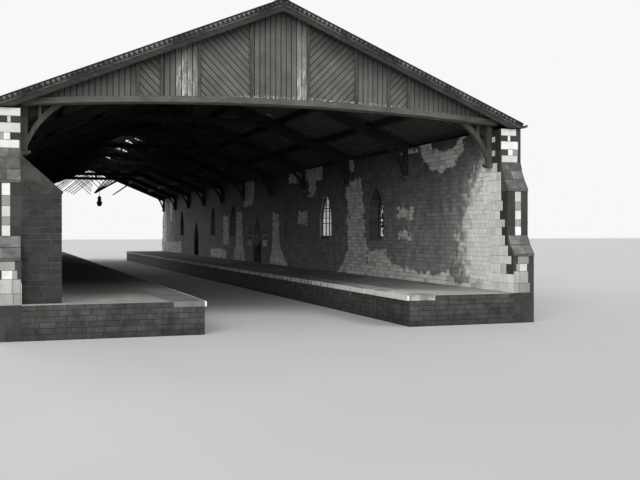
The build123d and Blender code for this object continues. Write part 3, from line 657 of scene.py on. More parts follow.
FOOT_BAND = (
    (-15.3, 0.62), (-14.35, 0.50), (-14.14, 0.74), (-13.94, 0.64), (-13.0, 0.62),
    (-12.2, 0.70), (-11.7, 0.74), (-11.37, 0.93), (-11.0, 0.60), (-10.6, 0.44),
)


def steps_between(y, points):
    """A value read off a list of (place, value), straight from one to the next."""
    for (first, low), (second, high) in zip(points, points[1:]):
        if first <= y <= second:
            return low + (high - low) * (y - first) / (second - first)
    return points[0][1] if y < points[0][0] else points[-1][1]


def bare_depth(y, z):
    """How deep a point lies in the fallen patches, which start with a crescent."""
    bite = oval_depth(y, z, -13.93, 3.02, 0.54, 0.28)
    depths = [min(oval_depth(y, z, -13.80, 2.97, 0.86, 0.54), -bite)]
    for left, right, low, high in BARE_BOXES:
        depths.append(slanted_depth(y, z, (left, right, low), (left, right, high)))
    depths.extend(slanted_depth(y, z, foot, head) for foot, head in BARE_STRIPS)
    if FOOT_BAND[0][0] < y < FOOT_BAND[-1][0]:
        depths.append(steps_between(y, FOOT_BAND) - z)
    return max(depths)


# soot and painted shade along the hall: darkest deep inside, and paler again towards the far open
# end, where painted daylight reaches
SOOT_AND_SHADE_ALONG = (
    (-16.2, 0.36), (-14.8, 0.28), (-13.8, 0.22), (-12.4, 0.25), (-11.4, 0.24), (-9.0, 0.20),
    (-5.0, 0.18), (0.0, 0.17), (5.0, 0.14), (8.5, 0.14), (11.3, 0.13), (12.4, 0.15), (14.0, 0.34),
    (15.8, 0.50),
)
# how far from the open end the wall is painted white, level by level: whitewash, and also painted
# daylight
WHITE_EDGE = (
    (0.45, -14.80), (0.90, -14.62), (1.30, -14.56), (1.60, -14.70), (2.00, -14.93),
    (2.30, -15.10), (2.50, -15.32), (2.70, -15.60), (2.95, -15.90),
)


def soot_and_shade_tone(y, z):
    """How pale the sooty part of an inner wall is, as a colour value: darker deeper in and higher
    up, which is soot and also painted shade.
    """
    height = max(0.0, min(1.0, (z - 1.6) / 1.3))
    return steps_between(y, SOOT_AND_SHADE_ALONG) * (1 - 0.62 * height)


def inner_wear(y, z):
    """The carried numbers at one point of an inner wall."""
    # painted white near the open end, and low down by the far open end: whitewash and painted
    # daylight
    clean = steps_between(z, WHITE_EDGE) - y
    if y > 0:
        clean = y - 15.1 + 1.6 * max(0.0, 1.1 - z)
    return {
        "wash": soot_and_shade_tone(y, z),
        "bare": 0.5 + bare_depth(y, z) / 0.24,
        "white": 0.5 + clean / 1.1,
    }


def outer_wear(y, z):
    """Outside there is no wash, only stone that is darker near the ground, and darker under the
    eaves, which is painted shade.
    """
    # darker near the ground, and painted shade under the eaves
    low_and_eaves_darkening = max(0.0, 1 - z / 0.7) * 0.10 + max(0.0, (z - 2.4) / 0.6) * 0.08
    return {"wash": 0.27 - low_and_eaves_darkening, "bare": 0.0}


def painted(level):
    """The carried numbers of a stone that has one tone all over."""
    return lambda y, z: {"wash": level, "bare": 0.0}


print("wear at the near end:", inner_wear(-15.6, 1.5))

# %% [markdown]
# ## Lay the wall stones
#
# Each course is cut into stones by a seeded random source, with the upright joints half a stone
# apart from one course to the next. A stone is a slab with bevelled edges, a few millimetres proud
# of the solid wall, so that the wall itself shows in the joints as mortar. Beside an opening the
# end of a stone is slanted to follow the arch.

# %% Cut each course into stones
COURSE_HEIGHT = 0.0745
THIN_COURSE = 0.02
STONE_LENGTH = 0.152
PANEL_STONE_LENGTH = 0.19
JOINT = 0.003
STONE_BEVEL = 0.0035
STONE_PROUD = (0.003, 0.0055)
WHITEWASH = 0.92


class Wall:
    """Turns along, up and out of a wall's face into a point of the building."""

    def __init__(self, origin, along, outward):
        self.origin = Vector(origin)
        self.along = Vector(along)
        self.outward = Vector(outward)

    def point(self, along, up, out):
        spot = self.origin + self.along * along + self.outward * out
        return spot + Vector((0, 0, up))


def long_wall(x, way, y=0):
    """A face along the shed, which looks to the right or the left."""
    return Wall((x, y, 0), (0, 1, 0), (way, 0, 0))


def courses(bottom, top):
    """The number, foot and head of each course between two levels, counted from the platform."""
    row = round((bottom - PLATFORM) / COURSE_HEIGHT)
    low = bottom
    while low < top - THIN_COURSE:
        high = min(PLATFORM + (row + 1) * COURSE_HEIGHT, top)
        if high - low > THIN_COURSE:
            yield row, low, high
            low = high
        row += 1


def lay_stone(heap, wall, foot, head, low, high, out, draw, wear):
    """One bevelled stone between two pairs of ends, at its foot and at its head."""
    proud = out + draw.uniform(*STONE_PROUD)
    if min(head[1] - head[0], foot[1] - foot[0]) < 4 * STONE_BEVEL:
        return
    spots = []
    for inset, depth in ((JOINT / 2, out - 0.001), (JOINT / 2 + STONE_BEVEL, proud)):
        spots.append((foot[0] + inset, low + inset, depth))
        spots.append((foot[1] - inset, low + inset, depth))
        spots.append((head[1] - inset, high - inset, depth))
        spots.append((head[0] + inset, high - inset, depth))
    worn = [wear(y, z) for y, z, _ in spots]
    numbers = {name: [entry[name] for entry in worn] for name in worn[0]}
    faces = [(i, (i + 1) % 4, (i + 1) % 4 + 4, i + 4) for i in range(4)]
    faces.append((4, 5, 6, 7))
    heap.add([wall.point(*spot) for spot in spots], faces, tone=draw.random(), **numbers)


def lay_run(heap, wall, left, right, low, high, row, draw, wear, out=0.0, length=STONE_LENGTH):
    """Stones from left to right; each end is a pair, at the foot and at the head."""
    cuts = []
    start = length * (floor(min(left) / length) + (0.5 if row % 2 else 0.0))
    while start < max(right):
        cut = start + draw.uniform(-0.02, 0.02)
        if max(left) + length / 3 < cut < min(right) - length / 3:
            cuts.append(cut)
        start += length * draw.choice((0.85, 1.0, 1.0, 1.15))
    ends = [left, *((cut, cut) for cut in cuts), right]
    for first, second in zip(ends, ends[1:]):
        foot, head = zip(first, second)
        lay_stone(heap, wall, foot, head, low, high, out, draw, wear)


def gaps_in_course(low, high):
    """The openings that a course meets, each as (left pair, right pair)."""
    gaps = []
    for opening in openings:
        at_foot = opening.half_at(low + 0.001)
        at_head = opening.half_at(high)
        if low < opening.sill < high:
            at_foot = at_head if high - opening.sill > COURSE_HEIGHT / 2 else 0.0
            at_head = at_foot
        if at_foot > 0:
            gaps.append(opening.sides(at_foot, at_head))
    return gaps


def lay_wall(wall, end, bottom, wear, seed):
    """The stones of one long wall face, which is as long to both sides."""
    draw = random.Random(seed)
    heap = Heap("tone", "wash", "bare", "white")
    for row, low, high in courses(bottom, INNER_TOP):
        gaps = gaps_in_course(low, high)
        lefts = [(-end, -end), *(gap[1] for gap in gaps)]
        rights = [*(gap[0] for gap in gaps), (end, end)]
        for left, right in zip(lefts, rights):
            lay_run(heap, wall, left, right, low, high, row, draw, wear)
    return heap


def lay_panel(heap, wall, start, end, bottom, top, wear, draw):
    """Courses on a plain rectangle."""
    for row, low, high in courses(bottom, top):
        left, right = (start, start), (end, end)
        lay_run(heap, wall, left, right, low, high, row, draw, wear, length=PANEL_STONE_LENGTH)


# %% [markdown]
# ## The finish of the wall stones
#
# The carried tone gives each stone its own shade. The bare share is a slope across the edge of each
# fallen patch, so adding noise to it before a steep step frays the edge. The wash is mixed by the
# carried value, blotched by two sizes of noise and streaked downward by noise that is stretched
# along the height.

# %% Stone finishes
PALE_PATCH = tuple(0.72 * part for part in WARM_WHITE)


def masonry_finish(name, blotch=0.5):
    finish = Finish(name, roughness=0.93, specular=0.2)
    tone = finish.carried("tone")
    wash = finish.carried("wash")
    bare = finish.carried("bare")
    coarse = finish.noise(7, 5, roughness=0.6)
    fine = finish.noise(55, 6, roughness=0.7)
    runs = finish.noise(9, 4, (1, 1, 0.12))
    patch = finish.between(bare + (coarse - 0.5) * 1.1 + (tone - 0.5) * 0.25, 0.46, 0.54)
    level = wash * (1 + (coarse - 0.5) * blotch * 2.2 + (runs - 0.5) * blotch)
    level = level * (0.82 + tone * 0.36) * (0.8 + fine * 0.4)
    # the white zone: whitewash, and painted daylight by the open ends
    white = finish.carried("white") + (coarse - 0.5) * 1.2 + (runs - 0.5) * 0.5
    zone = finish.between(white, 0.22, 0.78)
    limed = WHITEWASH * (0.86 + tone * 0.14) * (0.78 + coarse * 0.24 + fine * 0.20)
    stone = finish.tinted(level * (1 - zone) + limed * zone)
    pale = finish.tinted((0.62 + tone * 0.5) * (0.6 + fine * 0.75), PALE_PATCH)
    finish.use("Base Color", finish.blend(patch, stone, pale))
    finish.relief(fine * 0.6 + coarse * 0.4 - patch * 0.5, 0.004)
    return finish


inner_stone = masonry_finish("whitewashed_wall_stone")
outer_stone = masonry_finish("weathered_wall_stone", blotch=0.35)
mortar = Finish("old_mortar", roughness=0.95, specular=0.1)
from_middle = abs(mortar.axis("X"))
inner_face = mortar.between(from_middle, WALL_FACE - 0.06, WALL_FACE - 0.04)
inner_face = inner_face * (1 - mortar.between(from_middle, WALL_FACE + 0.004, WALL_FACE + 0.012))
outer_face = mortar.between(from_middle, OUTER_FACE - 0.02, OUTER_FACE - 0.01)
along = abs(mortar.axis("Y"))
# mortar painted pale by both open ends below 2 to 2.5 m: lime-wash and painted daylight
limed = mortar.between(along, 14.2, 15.2) * (1 - mortar.between(along, 15.74, 15.80)) * inner_face
limed = limed * (1 - mortar.between(mortar.axis("Z"), 2.0, 2.5))
bed = 0.09 + 0.40 * limed + 0.05 * outer_face + (mortar.noise(40, 5) - 0.5) * 0.08
mortar.use("Base Color", mortar.tinted(bed))
mortar.relief(mortar.noise(90, 4), 0.002)
print("stone finishes ready")

# %% Lay the inner and outer faces of both walls
QUOIN_START = 15.5
COURSE_FOOT = 0.003
INNER_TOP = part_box("eaves_plates")[0].z
for side, word in ((1, "right"), (-1, "left")):
    inner = long_wall(side * WALL_FACE, -side)
    heap = lay_wall(inner, QUOIN_START, PLATFORM, inner_wear, 11 + side)
    heap.make("inner_wall_stones_" + word, inner_stone, "masonry")
    outer = long_wall(side * OUTER_FACE, side)
    heap = lay_wall(outer, WALL_END, COURSE_FOOT, outer_wear, 21 + side)
    heap.make("outer_wall_stones_" + word, outer_stone, "masonry")

# %% [markdown]
# ## The stepped piers
#
# Each wall ends in a pier of larger dressed stones, painted by turns dark and white to make the
# ends stand out for the train drivers. The front of a pier is told row by row: a height, then where
# each stone ends and what it is painted, before the dark stone that ends every row. The whitewash
# of the hall runs out over the side of the pier and stops at a different stone in each row, which
# leaves a toothed edge.

# %% Set the pier stones
PAINT = {"white": 0.68, "grey": 0.30, "dark": 0.045, "pale": 0.42}
LIMED = 0.80
NARROW_QUOIN = 0.24
QUOIN_STEP = 0.07
QUOIN_PROUD = 0.0035
PIER_ROWS = {
    "head": (
        (0.106, ((0.77, "white"),)),
        (0.086, ((0.34, "dark"), (0.47, "white"))),
        (0.125, ((0.87, "white"),)),
        (0.092, ((0.36, "dark"), (0.60, "white"), (0.86, "grey"))),
        (0.106, ((0.04, "dark"), (0.84, "white"))),
    ),
    "middle": (
        (0.160, ((0.36, "dark"), (0.66, "white"))),
        (0.130, ((0.36, "dark"), (0.66, "grey"))),
        (0.139, ((0.36, "dark"), (0.66, "white"))),
        (0.104, ((0.36, "dark"), (0.66, "grey"))),
        (0.137, ((0.36, "dark"), (0.66, "white"))),
    ),
    "foot": (
        (0.115, ((0.20, "dark"), (0.75, "grey"))),
        (0.112, ((0.12, "dark"), (0.28, "grey"), (0.66, "white"))),
        (0.178, ((0.30, "grey"), (0.72, "pale"))),
        (0.145, ((0.25, "grey"), (0.80, "grey"))),
        (0.150, ((0.5, "dark"),)),
        (0.150, ((0.3, "dark"), (0.7, "dark"))),
        (0.147, ((0.55, "dark"),)),
    ),
}
upper_low, upper_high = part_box("pier_upper_weatherings")
lower_low, lower_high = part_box("pier_lower_weatherings")
UPPER_FACE = upper_high.y - 0.02
UPPER_FOOT, UPPER_TOP = upper_low.z, upper_high.z
LOWER_FOOT, LOWER_TOP = lower_low.z, lower_high.z
PIER_WIDTH = OUTER_FACE - WALL_FACE
CORNERS = [(side, end) for side in (1, -1) for end in (1, -1)]
# a stage, how far it stands out, its top and its foot
PIER_STAGES = (
    ("head", WALL_END, WALL_TOP, UPPER_TOP),
    ("middle", UPPER_FACE, UPPER_FOOT, LOWER_TOP),
    ("foot", PIER_END, LOWER_FOOT, COURSE_FOOT),
)
# for each row from the top: its lowest level, and where the whitewash stops
TOOTHING = (
    (2.844, 15.50), (2.758, 15.64), (2.633, 15.50), (2.541, 15.64), (2.434, 15.50),
    (2.290, 15.70), (2.160, 15.81), (1.980, 15.81), (1.844, 15.82), (1.690, 15.865),
    (1.553, 15.78), (1.436, 15.93), (1.312, 15.84), (1.156, 15.93), (1.000, 16.01),
    (0.876, 16.115), (0.728, 15.97), (0.590, 16.18), (0.450, 16.18),
)


def pier_rows(stages):
    """The rows of some stages: number, how far it stands out, foot, head and its stones."""
    for stage, reach, high, bottom in stages:
        rows = PIER_ROWS[stage]
        scale = (high - bottom) / sum(height for height, _ in rows)
        for number, (height, stones) in enumerate(rows):
            low = high - height * scale
            yield number, reach, low, high, stones
            high = low


def lay_pier_front(heap, side, end, draw):
    for _, reach, low, high, stones in pier_rows(PIER_STAGES):
        wall = Wall((side * WALL_FACE, end * reach, 0), (side, 0, 0), (0, end, 0))
        start = 0.0
        for share, paint in (*stones, (1.0, "dark")):
            ends = (start * PIER_WIDTH, share * PIER_WIDTH)
            level = PAINT[paint] * draw.uniform(0.88, 1.04)
            lay_stone(heap, wall, ends, ends, low, high, 0.0, draw, painted(level))
            start = share


def pier_reach(height):
    """How far the pier stands out at a height, apart from its sloped stones."""
    if height > LOWER_TOP - 0.01:
        return UPPER_FACE if height < UPPER_FOOT else WALL_END
    return PIER_END if height < LOWER_FOOT else UPPER_FACE


def lay_pier_side(heap, side, end, draw):
    """The toothed end of the inner wall face and the inner side of the pier."""
    wall = Wall((side * WALL_FACE, 0, 0), (0, end, 0), (-side, 0, 0))
    high = INNER_TOP
    for row, (low, edge) in enumerate(TOOTHING):
        reach = pier_reach((low + high) / 2)
        edge = min(edge, reach)
        begin = QUOIN_START - QUOIN_STEP * (row % 2)
        split = begin + (edge - begin) * draw.uniform(0.35, 0.65)
        stones = [(begin, split, LIMED + 0.02), (split, edge, LIMED), (edge, reach, 0.05)]
        if edge - begin < NARROW_QUOIN:
            stones[0:2] = [(begin, edge, LIMED)]
        # the rows above 2.35 m are painted darker under the eaves plate: soot and painted shade
        soot_and_shade = 1 - 0.35 * max(0.0, (high - 2.35) / 0.6)
        for start, stop, level in stones:
            if stop - start >= 0.02:
                wear = painted(level * soot_and_shade * draw.uniform(0.92, 1.04))
                ends = (start, stop)
                lay_stone(heap, wall, ends, ends, low, high, QUOIN_PROUD, draw, wear)
        high = low


def lay_pier_outside(heap, side, end, draw):
    """The outer side of the pier, where it stands out past the wall."""
    wall = Wall((side * OUTER_FACE, 0, 0), (0, end, 0), (side, 0, 0))
    for number, reach, low, high, _ in pier_rows(PIER_STAGES[1:]):
        ends = (WALL_END - (0 if number % 2 else QUOIN_STEP), reach)
        lay_stone(heap, wall, ends, ends, low, high, 0.001, draw, painted(0.09))


heap = Heap("tone", "wash", "bare")
draw = random.Random(31)
for corner in CORNERS:
    lay_pier_front(heap, *corner, draw)
    lay_pier_side(heap, *corner, draw)
    lay_pier_outside(heap, *corner, draw)
heap.make("pier_stones", masonry_finish("painted_pier_stone", blotch=0.3), "masonry")

# %% [markdown]
# ## The sloped stones of the piers
#
# Where a pier steps back, sloped stones throw off the rain. The solid has their outline, and here
# each course of it gets its own slabs, whose lower edge stands a little over the course below.

# %% Lay the sloped slabs
UPPER_SLOPE = ((16.030, 0.025), (15.928, 0.175), (15.853, 0.322), (15.812, 0.452))
LOWER_SLOPE = ((16.200, 0.025), (16.090, 0.160), (16.012, 0.308))
SLAB_LIP = 0.009
SLAB_THIN = 0.004


def lay_sloped_slabs(heap, side, end, slope, foot, draw):
    for (low_y, low_z), (high_y, high_z) in zip(slope, slope[1:]):
        way = Vector((0, high_y - low_y, high_z - low_z)).normalized()
        out = Vector((0, way.z, -way.y))
        start = Vector((0, low_y, foot + low_z)) + way * 0.012
        stop = Vector((0, high_y, foot + high_z)) - way * 0.002
        section = ((start, -0.002), (start, SLAB_LIP), (stop, SLAB_THIN), (stop, -0.002))

        def corner(across, point, lift):
            spot = point + out * lift
            return Vector((side * (WALL_FACE + across), end * spot.y, spot.z))

        split = draw.uniform(0.35, 0.65) * PIER_WIDTH
        for ends in ((0.002, split - 0.002), (split + 0.002, PIER_WIDTH - 0.002)):
            numbers = {"tone": draw.random(), "wash": 0.10 * draw.uniform(0.8, 1.6)}
            heap.sweep(corner, ends, section, **numbers)


heap = Heap("tone", "wash")
draw = random.Random(37)
for side, end in CORNERS:
    lay_sloped_slabs(heap, side, end, UPPER_SLOPE, UPPER_FOOT, draw)
    lay_sloped_slabs(heap, side, end, LOWER_SLOPE, LOWER_FOOT, draw)
heap.make("sloped_slabs", masonry_finish("sloped_stone", blotch=0.9), "dressed_stone")

# %% [markdown]
# ## The sides of the openings
#
# A wall as thick as this shows more of an opening's side than of its glass when it is seen along
# the hall. Inside, that side is sooty. Outside the frame it is limewashed and catches the daylight,
# which is what makes the windows shine. The stones follow the outline of the opening, one from each
# point of it to the next.

# %% Line the openings
FRAME_DEPTH = 0.036
REVEAL_THICKNESS = 0.004
REVEAL_TONE = {"deep": 0.05, "flush": 0.16, "sidelit": 0.035, "doorway": 0.035, "sidelight": 0.26}
REVEAL_OUTSIDE = 0.84
REVEAL_SHRINK = 0.985


def reveal_outline(opening, inset):
    """Points round an opening from foot to foot, with the courses marked on its upright sides."""
    arch = opening.outline(inset)[1:-1]
    upright = []
    height = opening.sill + 0.004
    while height < opening.spring - COURSE_HEIGHT:
        upright.append((opening.half - inset, height))
        height += COURSE_HEIGHT * 2
    return [*upright, *arch, *((-across, height) for across, height in reversed(upright))]


def shrunk(values):
    """The same values, all drawn a little towards their middle."""
    middle = sum(values) / len(values)
    return [middle + (value - middle) * REVEAL_SHRINK for value in values]


def line_opening(heap, side, opening, depths, level, draw):
    outer = reveal_outline(opening, 0.0)
    inner = reveal_outline(opening, REVEAL_THICKNESS)
    for number in range(len(outer) - 1):
        quad = (outer[number], outer[number + 1], inner[number + 1], inner[number])
        heap.sweep(
            lambda depth, y, z: Vector((side * depth, opening.place + y, z)),
            depths, list(zip(*(shrunk(values) for values in zip(*quad)))),
            tone=draw.random(), wash=level,
        )


heap = Heap("tone", "wash")
draw = random.Random(43)
for side in (1, -1):
    for opening in openings_of(*REVEAL_TONE):
        frame_face = opening.frame_face
        inside = (WALL_FACE + 0.001, frame_face - 0.001)
        outside = (frame_face + FRAME_DEPTH + 0.001, OUTER_FACE - 0.001)
        line_opening(heap, side, opening, inside, REVEAL_TONE[opening.kind], draw)
        line_opening(heap, side, opening, outside, REVEAL_OUTSIDE, draw)
heap.make("reveal_stones", masonry_finish("reveal_stone", blotch=0.4), "masonry")

# %% [markdown]
# ## Buttresses and walled-up windows
#
# Each outer buttress, the raked one inside, and the filling of the walled-up windows are laid in
# the same courses as the wall, so they use the same helper with other ends.

# %% Lay the buttress stones and the blocked windows
BUTTRESS_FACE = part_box("outer_buttresses")[1].x
BUTTRESS_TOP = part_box("buttress_heads")[0].z
BUTTRESS_HALF = 0.165
BLOCKED_OUT = -0.045
RAKE_FOOT = PLATFORM + 1.40
RAKE_MARGIN = 0.012
SHORT_COURSE = 0.03
rake_wear = painted(0.034)

heap = Heap("tone", "wash", "bare")
draw = random.Random(41)
for side in (1, -1):
    for number in range(len(KINDS) + 1):
        place = FIRST_OPENING + (number - 0.5) * PITCH
        front = long_wall(side * BUTTRESS_FACE, side, place)
        levels = (COURSE_FOOT, BUTTRESS_TOP)
        lay_panel(heap, front, -BUTTRESS_HALF, BUTTRESS_HALF, *levels, outer_wear, draw)
        for way in (1, -1):
            corner = (side * OUTER_FACE, place + way * BUTTRESS_HALF, 0)
            flank = Wall(corner, (side, 0, 0), (0, way, 0))
            lay_panel(heap, flank, 0.0, BUTTRESS_FACE - OUTER_FACE, *levels, outer_wear, draw)
heap.make("buttress_stones", outer_stone, "masonry")

heap = Heap("tone", "wash", "bare")
rake_low, rake_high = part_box("inner_buttress")
reach = rake_high.x - rake_low.x
for face_y, way in ((rake_low.y, -1), (rake_high.y, 1)):
    flank = Wall((rake_low.x, face_y, 0), (1, 0, 0), (0, way, 0))
    lay_panel(heap, flank, 0.0, reach, PLATFORM, RAKE_FOOT, rake_wear, draw)
    for row, low, high in courses(RAKE_FOOT, rake_high.z):
        shares = ((level - RAKE_FOOT) / (rake_high.z - RAKE_FOOT) for level in (low, high))
        slope = tuple(reach * (1 - share) - RAKE_MARGIN for share in shares)
        if slope[1] > SHORT_COURSE:
            lay_run(heap, flank, (0, 0), slope, low, high, row, draw, rake_wear)
front = long_wall(rake_high.x, 1, rake_low.y)
depth = rake_high.y - rake_low.y
lay_panel(heap, front, 0.0, depth, PLATFORM, RAKE_FOOT, rake_wear, draw)
heap.make("inner_buttress_stones", inner_stone, "masonry")

heap = Heap("tone", "wash", "bare")
for side in (1, -1):
    for face, way, wear in ((WALL_FACE, -1, inner_wear), (OUTER_FACE, 1, outer_wear)):
        wall = long_wall(side * face, side * way)
        for opening in openings_of("blocked"):
            for row, low, high in courses(opening.sill, opening.apex):
                halves = (opening.half_at(low + 0.001), opening.half_at(high))
                if halves[1] > SHORT_COURSE:
                    ends = opening.sides(*halves)
                    lay_run(heap, wall, *ends, low, high, row, draw, wear, BLOCKED_OUT)
heap.make("blocking_stones", inner_stone, "masonry")

# %% [markdown]
# ## The boards of the near gable
#
# The gable is boarded in panels: upright boards in the middle, boards that slant towards the middle
# beside them, then upright and slanting again. A board is a strip that is cut to its panel by
# clipping a polygon, edge by edge, which gives every board its own mitred ends. Rain has worn some
# boards pale and peeled the paint by the beam.

# %% Cut and nail the gable boards
BOARD_WIDTH = 0.0655
BOARD_GAP = 0.0125
BOARD_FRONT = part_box("upright_panels")[0].y
BOARD_PROUD = 0.009
POST_FACE = WALL_FACE - 0.09
STUD_HALF = 0.02
PANEL_EDGES = (0.42, 1.16, 1.675, 2.0)
BEAM_RISE = 0.15
BEAM_RADIUS = (POST_FACE**2 + BEAM_RISE**2) / (2 * BEAM_RISE)
BEAM_CROWN = WALL_TOP + 0.215
BEAM_HALF = 0.085
# from and to across the gable: where upright boards are worn pale
PALE_BOARDS = ((0.27, 0.37), (-1.50, -1.19))


def beam_top(x):
    return BEAM_CROWN - BEAM_RADIUS + sqrt(BEAM_RADIUS**2 - x**2) + BEAM_HALF


def rafter_under(x):
    return RIDGE - ROOF_FALL * abs(x) - ROOF_DEPTH / cos(ROOF_SLOPE)


def clip(outline, *cuts):
    """What is left of a convex outline; each cut is a point and the way to the side that stays."""
    for point, normal in cuts:
        kept = []
        for number, corner in enumerate(outline):
            before = outline[number - 1]
            here = (corner[0] - point[0]) * normal[0] + (corner[1] - point[1]) * normal[1]
            there = (before[0] - point[0]) * normal[0] + (before[1] - point[1]) * normal[1]
            if here * there < 0:
                share = there / (there - here)
                kept.append(tuple(b + (c - b) * share for b, c in zip(before, corner)))
            if here >= 0:
                kept.append(corner)
        if len(kept) < 3:
            return []
        outline = kept
    return outline


def upright_cuts(left, right):
    """The two cuts that leave what lies between two uprights."""
    return ((left, 0), (1, 0)), ((right, 0), (-1, 0))


def level_cuts(low, high):
    """The two cuts that leave what lies between two levels."""
    return ((0, low), (0, 1)), ((0, high), (0, -1))


def panel_outline(inner, outer):
    """A panel between two uprights, from the beam up to the rafters."""
    points = [(inner, beam_top(inner)), (outer, beam_top(outer))]
    if rafter_under(outer) > beam_top(outer) + 0.01:
        points.append((outer, rafter_under(outer)))
    if inner < 0 < outer:
        points.append((0.0, rafter_under(0.0)))
    points.append((inner, rafter_under(inner)))
    return points


def nail_boards(heap, outline, direction, draw):
    """Fills an outline with boards that run along a direction."""
    across = (-direction[1], direction[0])
    back = (direction[1], -direction[0])
    reaches = [x * across[0] + z * across[1] for x, z in outline]
    start = min(reaches)
    while start < max(reaches) - 0.01:
        stop = start + BOARD_WIDTH
        first = (across[0] * start, across[1] * start)
        board = clip(outline, (first, across), ((across[0] * stop, across[1] * stop), back))
        start += BOARD_WIDTH + BOARD_GAP
        if not board:
            continue
        middle = sum(x for x, _ in board) / len(board)
        pale = direction[0] == 0 and any(left < middle < right for left, right in PALE_BOARDS)
        front = BOARD_FRONT - (BOARD_PROUD + draw.uniform(-0.002, 0.002))
        heap.sweep(
            lambda y, x, z: Vector((x, y, z)), (BOARD_FRONT + 0.001, front), board,
            tone=draw.random(), pale=pale * draw.uniform(0.6, 1.0),
        )


heap = Heap("tone", "pale")
draw = random.Random(53)
edges = [*PANEL_EDGES, WALL_FACE + STUD_HALF]
half = PANEL_EDGES[0] - STUD_HALF
nail_boards(heap, panel_outline(-half, half), (0, 1), draw)
for side in (1, -1):
    for number, (inner, outer) in enumerate(zip(edges, edges[1:])):
        ends = sorted((side * (inner + STUD_HALF), side * (outer - STUD_HALF)))
        slanting = number in (0, 2)
        direction = (side * sin(radians(45)), cos(radians(45))) if slanting else (0, 1)
        nail_boards(heap, panel_outline(*ends), direction, draw)


def board_finish():
    finish = Finish("weathered_gable_boards", roughness=0.85)
    tone = finish.carried("tone")
    pale = finish.carried("pale")
    streaks = finish.noise(70, 6, (1, 1, 0.07), 0.65)
    blotch = finish.noise(4, 4)
    crumbs = finish.noise(38, 4, (1, 1, 0.7))
    height = finish.axis("Z")
    across = finish.axis("X")
    beam_line = BEAM_CROWN + BEAM_HALF - across * across / (2 * BEAM_RADIUS)
    foot = 1 - finish.between(height - beam_line, 0.012, 0.050)
    stretch = finish.between(across, -0.75, -0.4) * (1 - finish.between(across, 1.5, 2.1))
    flaked = finish.between(crumbs, 0.50, 0.56) * foot * stretch
    # painted shadow of the roof edge and barge boards, with soot: the boards darken just under the
    # rafters
    roof_shadow_and_soot = finish.between(height + abs(across) * ROOF_FALL, 4.05, 4.50)
    level = 0.090 + tone * 0.022 + (streaks - 0.5) * 0.07 + (blotch - 0.5) * 0.10
    peeling = finish.noise(34, 5, (1, 1, 0.16), 0.6)
    flakes = finish.between(peeling + (crumbs - 0.5) * 0.3, 0.50, 0.60)
    flakes = flakes * (1 - finish.between(height, 3.5, 4.1) * 0.7)
    level = level + pale * (0.04 + streaks * 0.10 + flakes * 0.26)
    wood = finish.tinted(level * (1 - roof_shadow_and_soot * 0.45), (1.0, 0.97, 0.91))
    finish.use("Base Color", finish.blend(flaked * 0.75, wood, (0.46, 0.45, 0.42)))
    finish.relief(streaks, 0.003)
    return finish


heap.make("gable_boards", board_finish(), "gable_boards")

# %% [markdown]
# ## What is left in the far gable
#
# The far gable was boarded like the near one and has lost nearly everything. Laths still hang under
# the rafters in four bunches: rising to the right at the left, rising to the left in the middle, a
# fan of darker boards at the right, and a few short laths above that fan. A lath is drawn from its
# broken foot upwards, until it reaches the rafters or the bunch that crosses it.

# %% Hang the laths of the far gable
LATH_THICKNESS = 0.010
LATH_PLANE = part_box("far_gable_slats")[0].y
LATH_STEP = 0.02
LATH_DISORDER = 0.03
# first foot, last foot, first and last lean (sideways per metre up), number, half width, and how
# far across the bunch goes
LATH_BUNCHES = (
    ((-1.56, 3.42), (-0.76, 3.13), (1.24, 1.24), 8, 0.017, 0.0),
    ((0.03, 3.16), (0.16, 3.78), (-1.10, -1.10), 7, 0.015, -3.0),
    ((0.20, 3.20), (0.30, 3.26), (0.85, 1.75), 5, 0.026, 3.0),
    ((0.42, 3.46), (1.02, 3.72), (-1.00, -1.00), 5, 0.014, -3.0),
)


def hang_laths(heap, first, last, leans, number, half, limit, draw):
    for place in range(number):
        share = place / (number - 1)
        across = first[0] + (last[0] - first[0]) * share
        foot, lean = (
            begin + (end - begin) * share + draw.uniform(-LATH_DISORDER, LATH_DISORDER)
            for begin, end in ((first[1], last[1]), leans)
        )
        rise = 0.0
        while foot + rise < rafter_under(across + lean * rise) + LATH_STEP:
            if (across + lean * rise - limit) * lean > 0:
                break
            rise += LATH_STEP
        side = Vector((1, 0, -lean)).normalized() * half
        depth = LATH_PLANE - LATH_THICKNESS * (1 if lean > 0 else 2)
        start = Vector((across, depth, foot))
        end = Vector((across + lean * rise, depth, foot + rise))
        heap.bar(start, end, side, Vector((0, LATH_THICKNESS / 2, 0)), tone=draw.random())


heap = Heap("tone")
draw = random.Random(57)
for bunch in LATH_BUNCHES:
    hang_laths(heap, *bunch, draw)
heap.make("far_gable_laths", roof_wood_upright, "old_timber")

# %% [markdown]
# ## The barge boards
#
# A barge board closes the edge of the roof. Here it has a plain lower fascia, a roll moulding, and
# an upper band of small hooked ornaments, with the edge of the slates on top. One outline of an
# ornament is repeated down the slope.

# %% Carve the barge boards
BARGE_TOP = RIDGE - 0.006
BARGE_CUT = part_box("barge_boards_near")[0].z
# top and bottom below the edge, back and front from the gable, and how much it catches the light
BARGE_STRIPS = (
    (0.0, 0.013, -0.004, 0.040, 0.0),
    (0.013, 0.080, 0.0, 0.020, 0.0),
    (0.080, 0.094, 0.0, 0.036, 0.6),
    (0.094, 0.152, 0.0, 0.026, 0.0),
    (0.152, 0.166, 0.0, 0.032, 0.0),
)
ORNAMENT_STEP = 0.072
ORNAMENT_MIDDLE = 0.045
ORNAMENT_ENDS = ((0.018, 1.0), (0.036, 0.8))
ORNAMENT = (
    (-0.027, 0.016), (0.027, 0.016), (0.030, 0.034), (0.015, 0.046), (0.012, 0.066),
    (0.002, 0.076), (-0.008, 0.068), (-0.006, 0.050), (-0.022, 0.038),
)


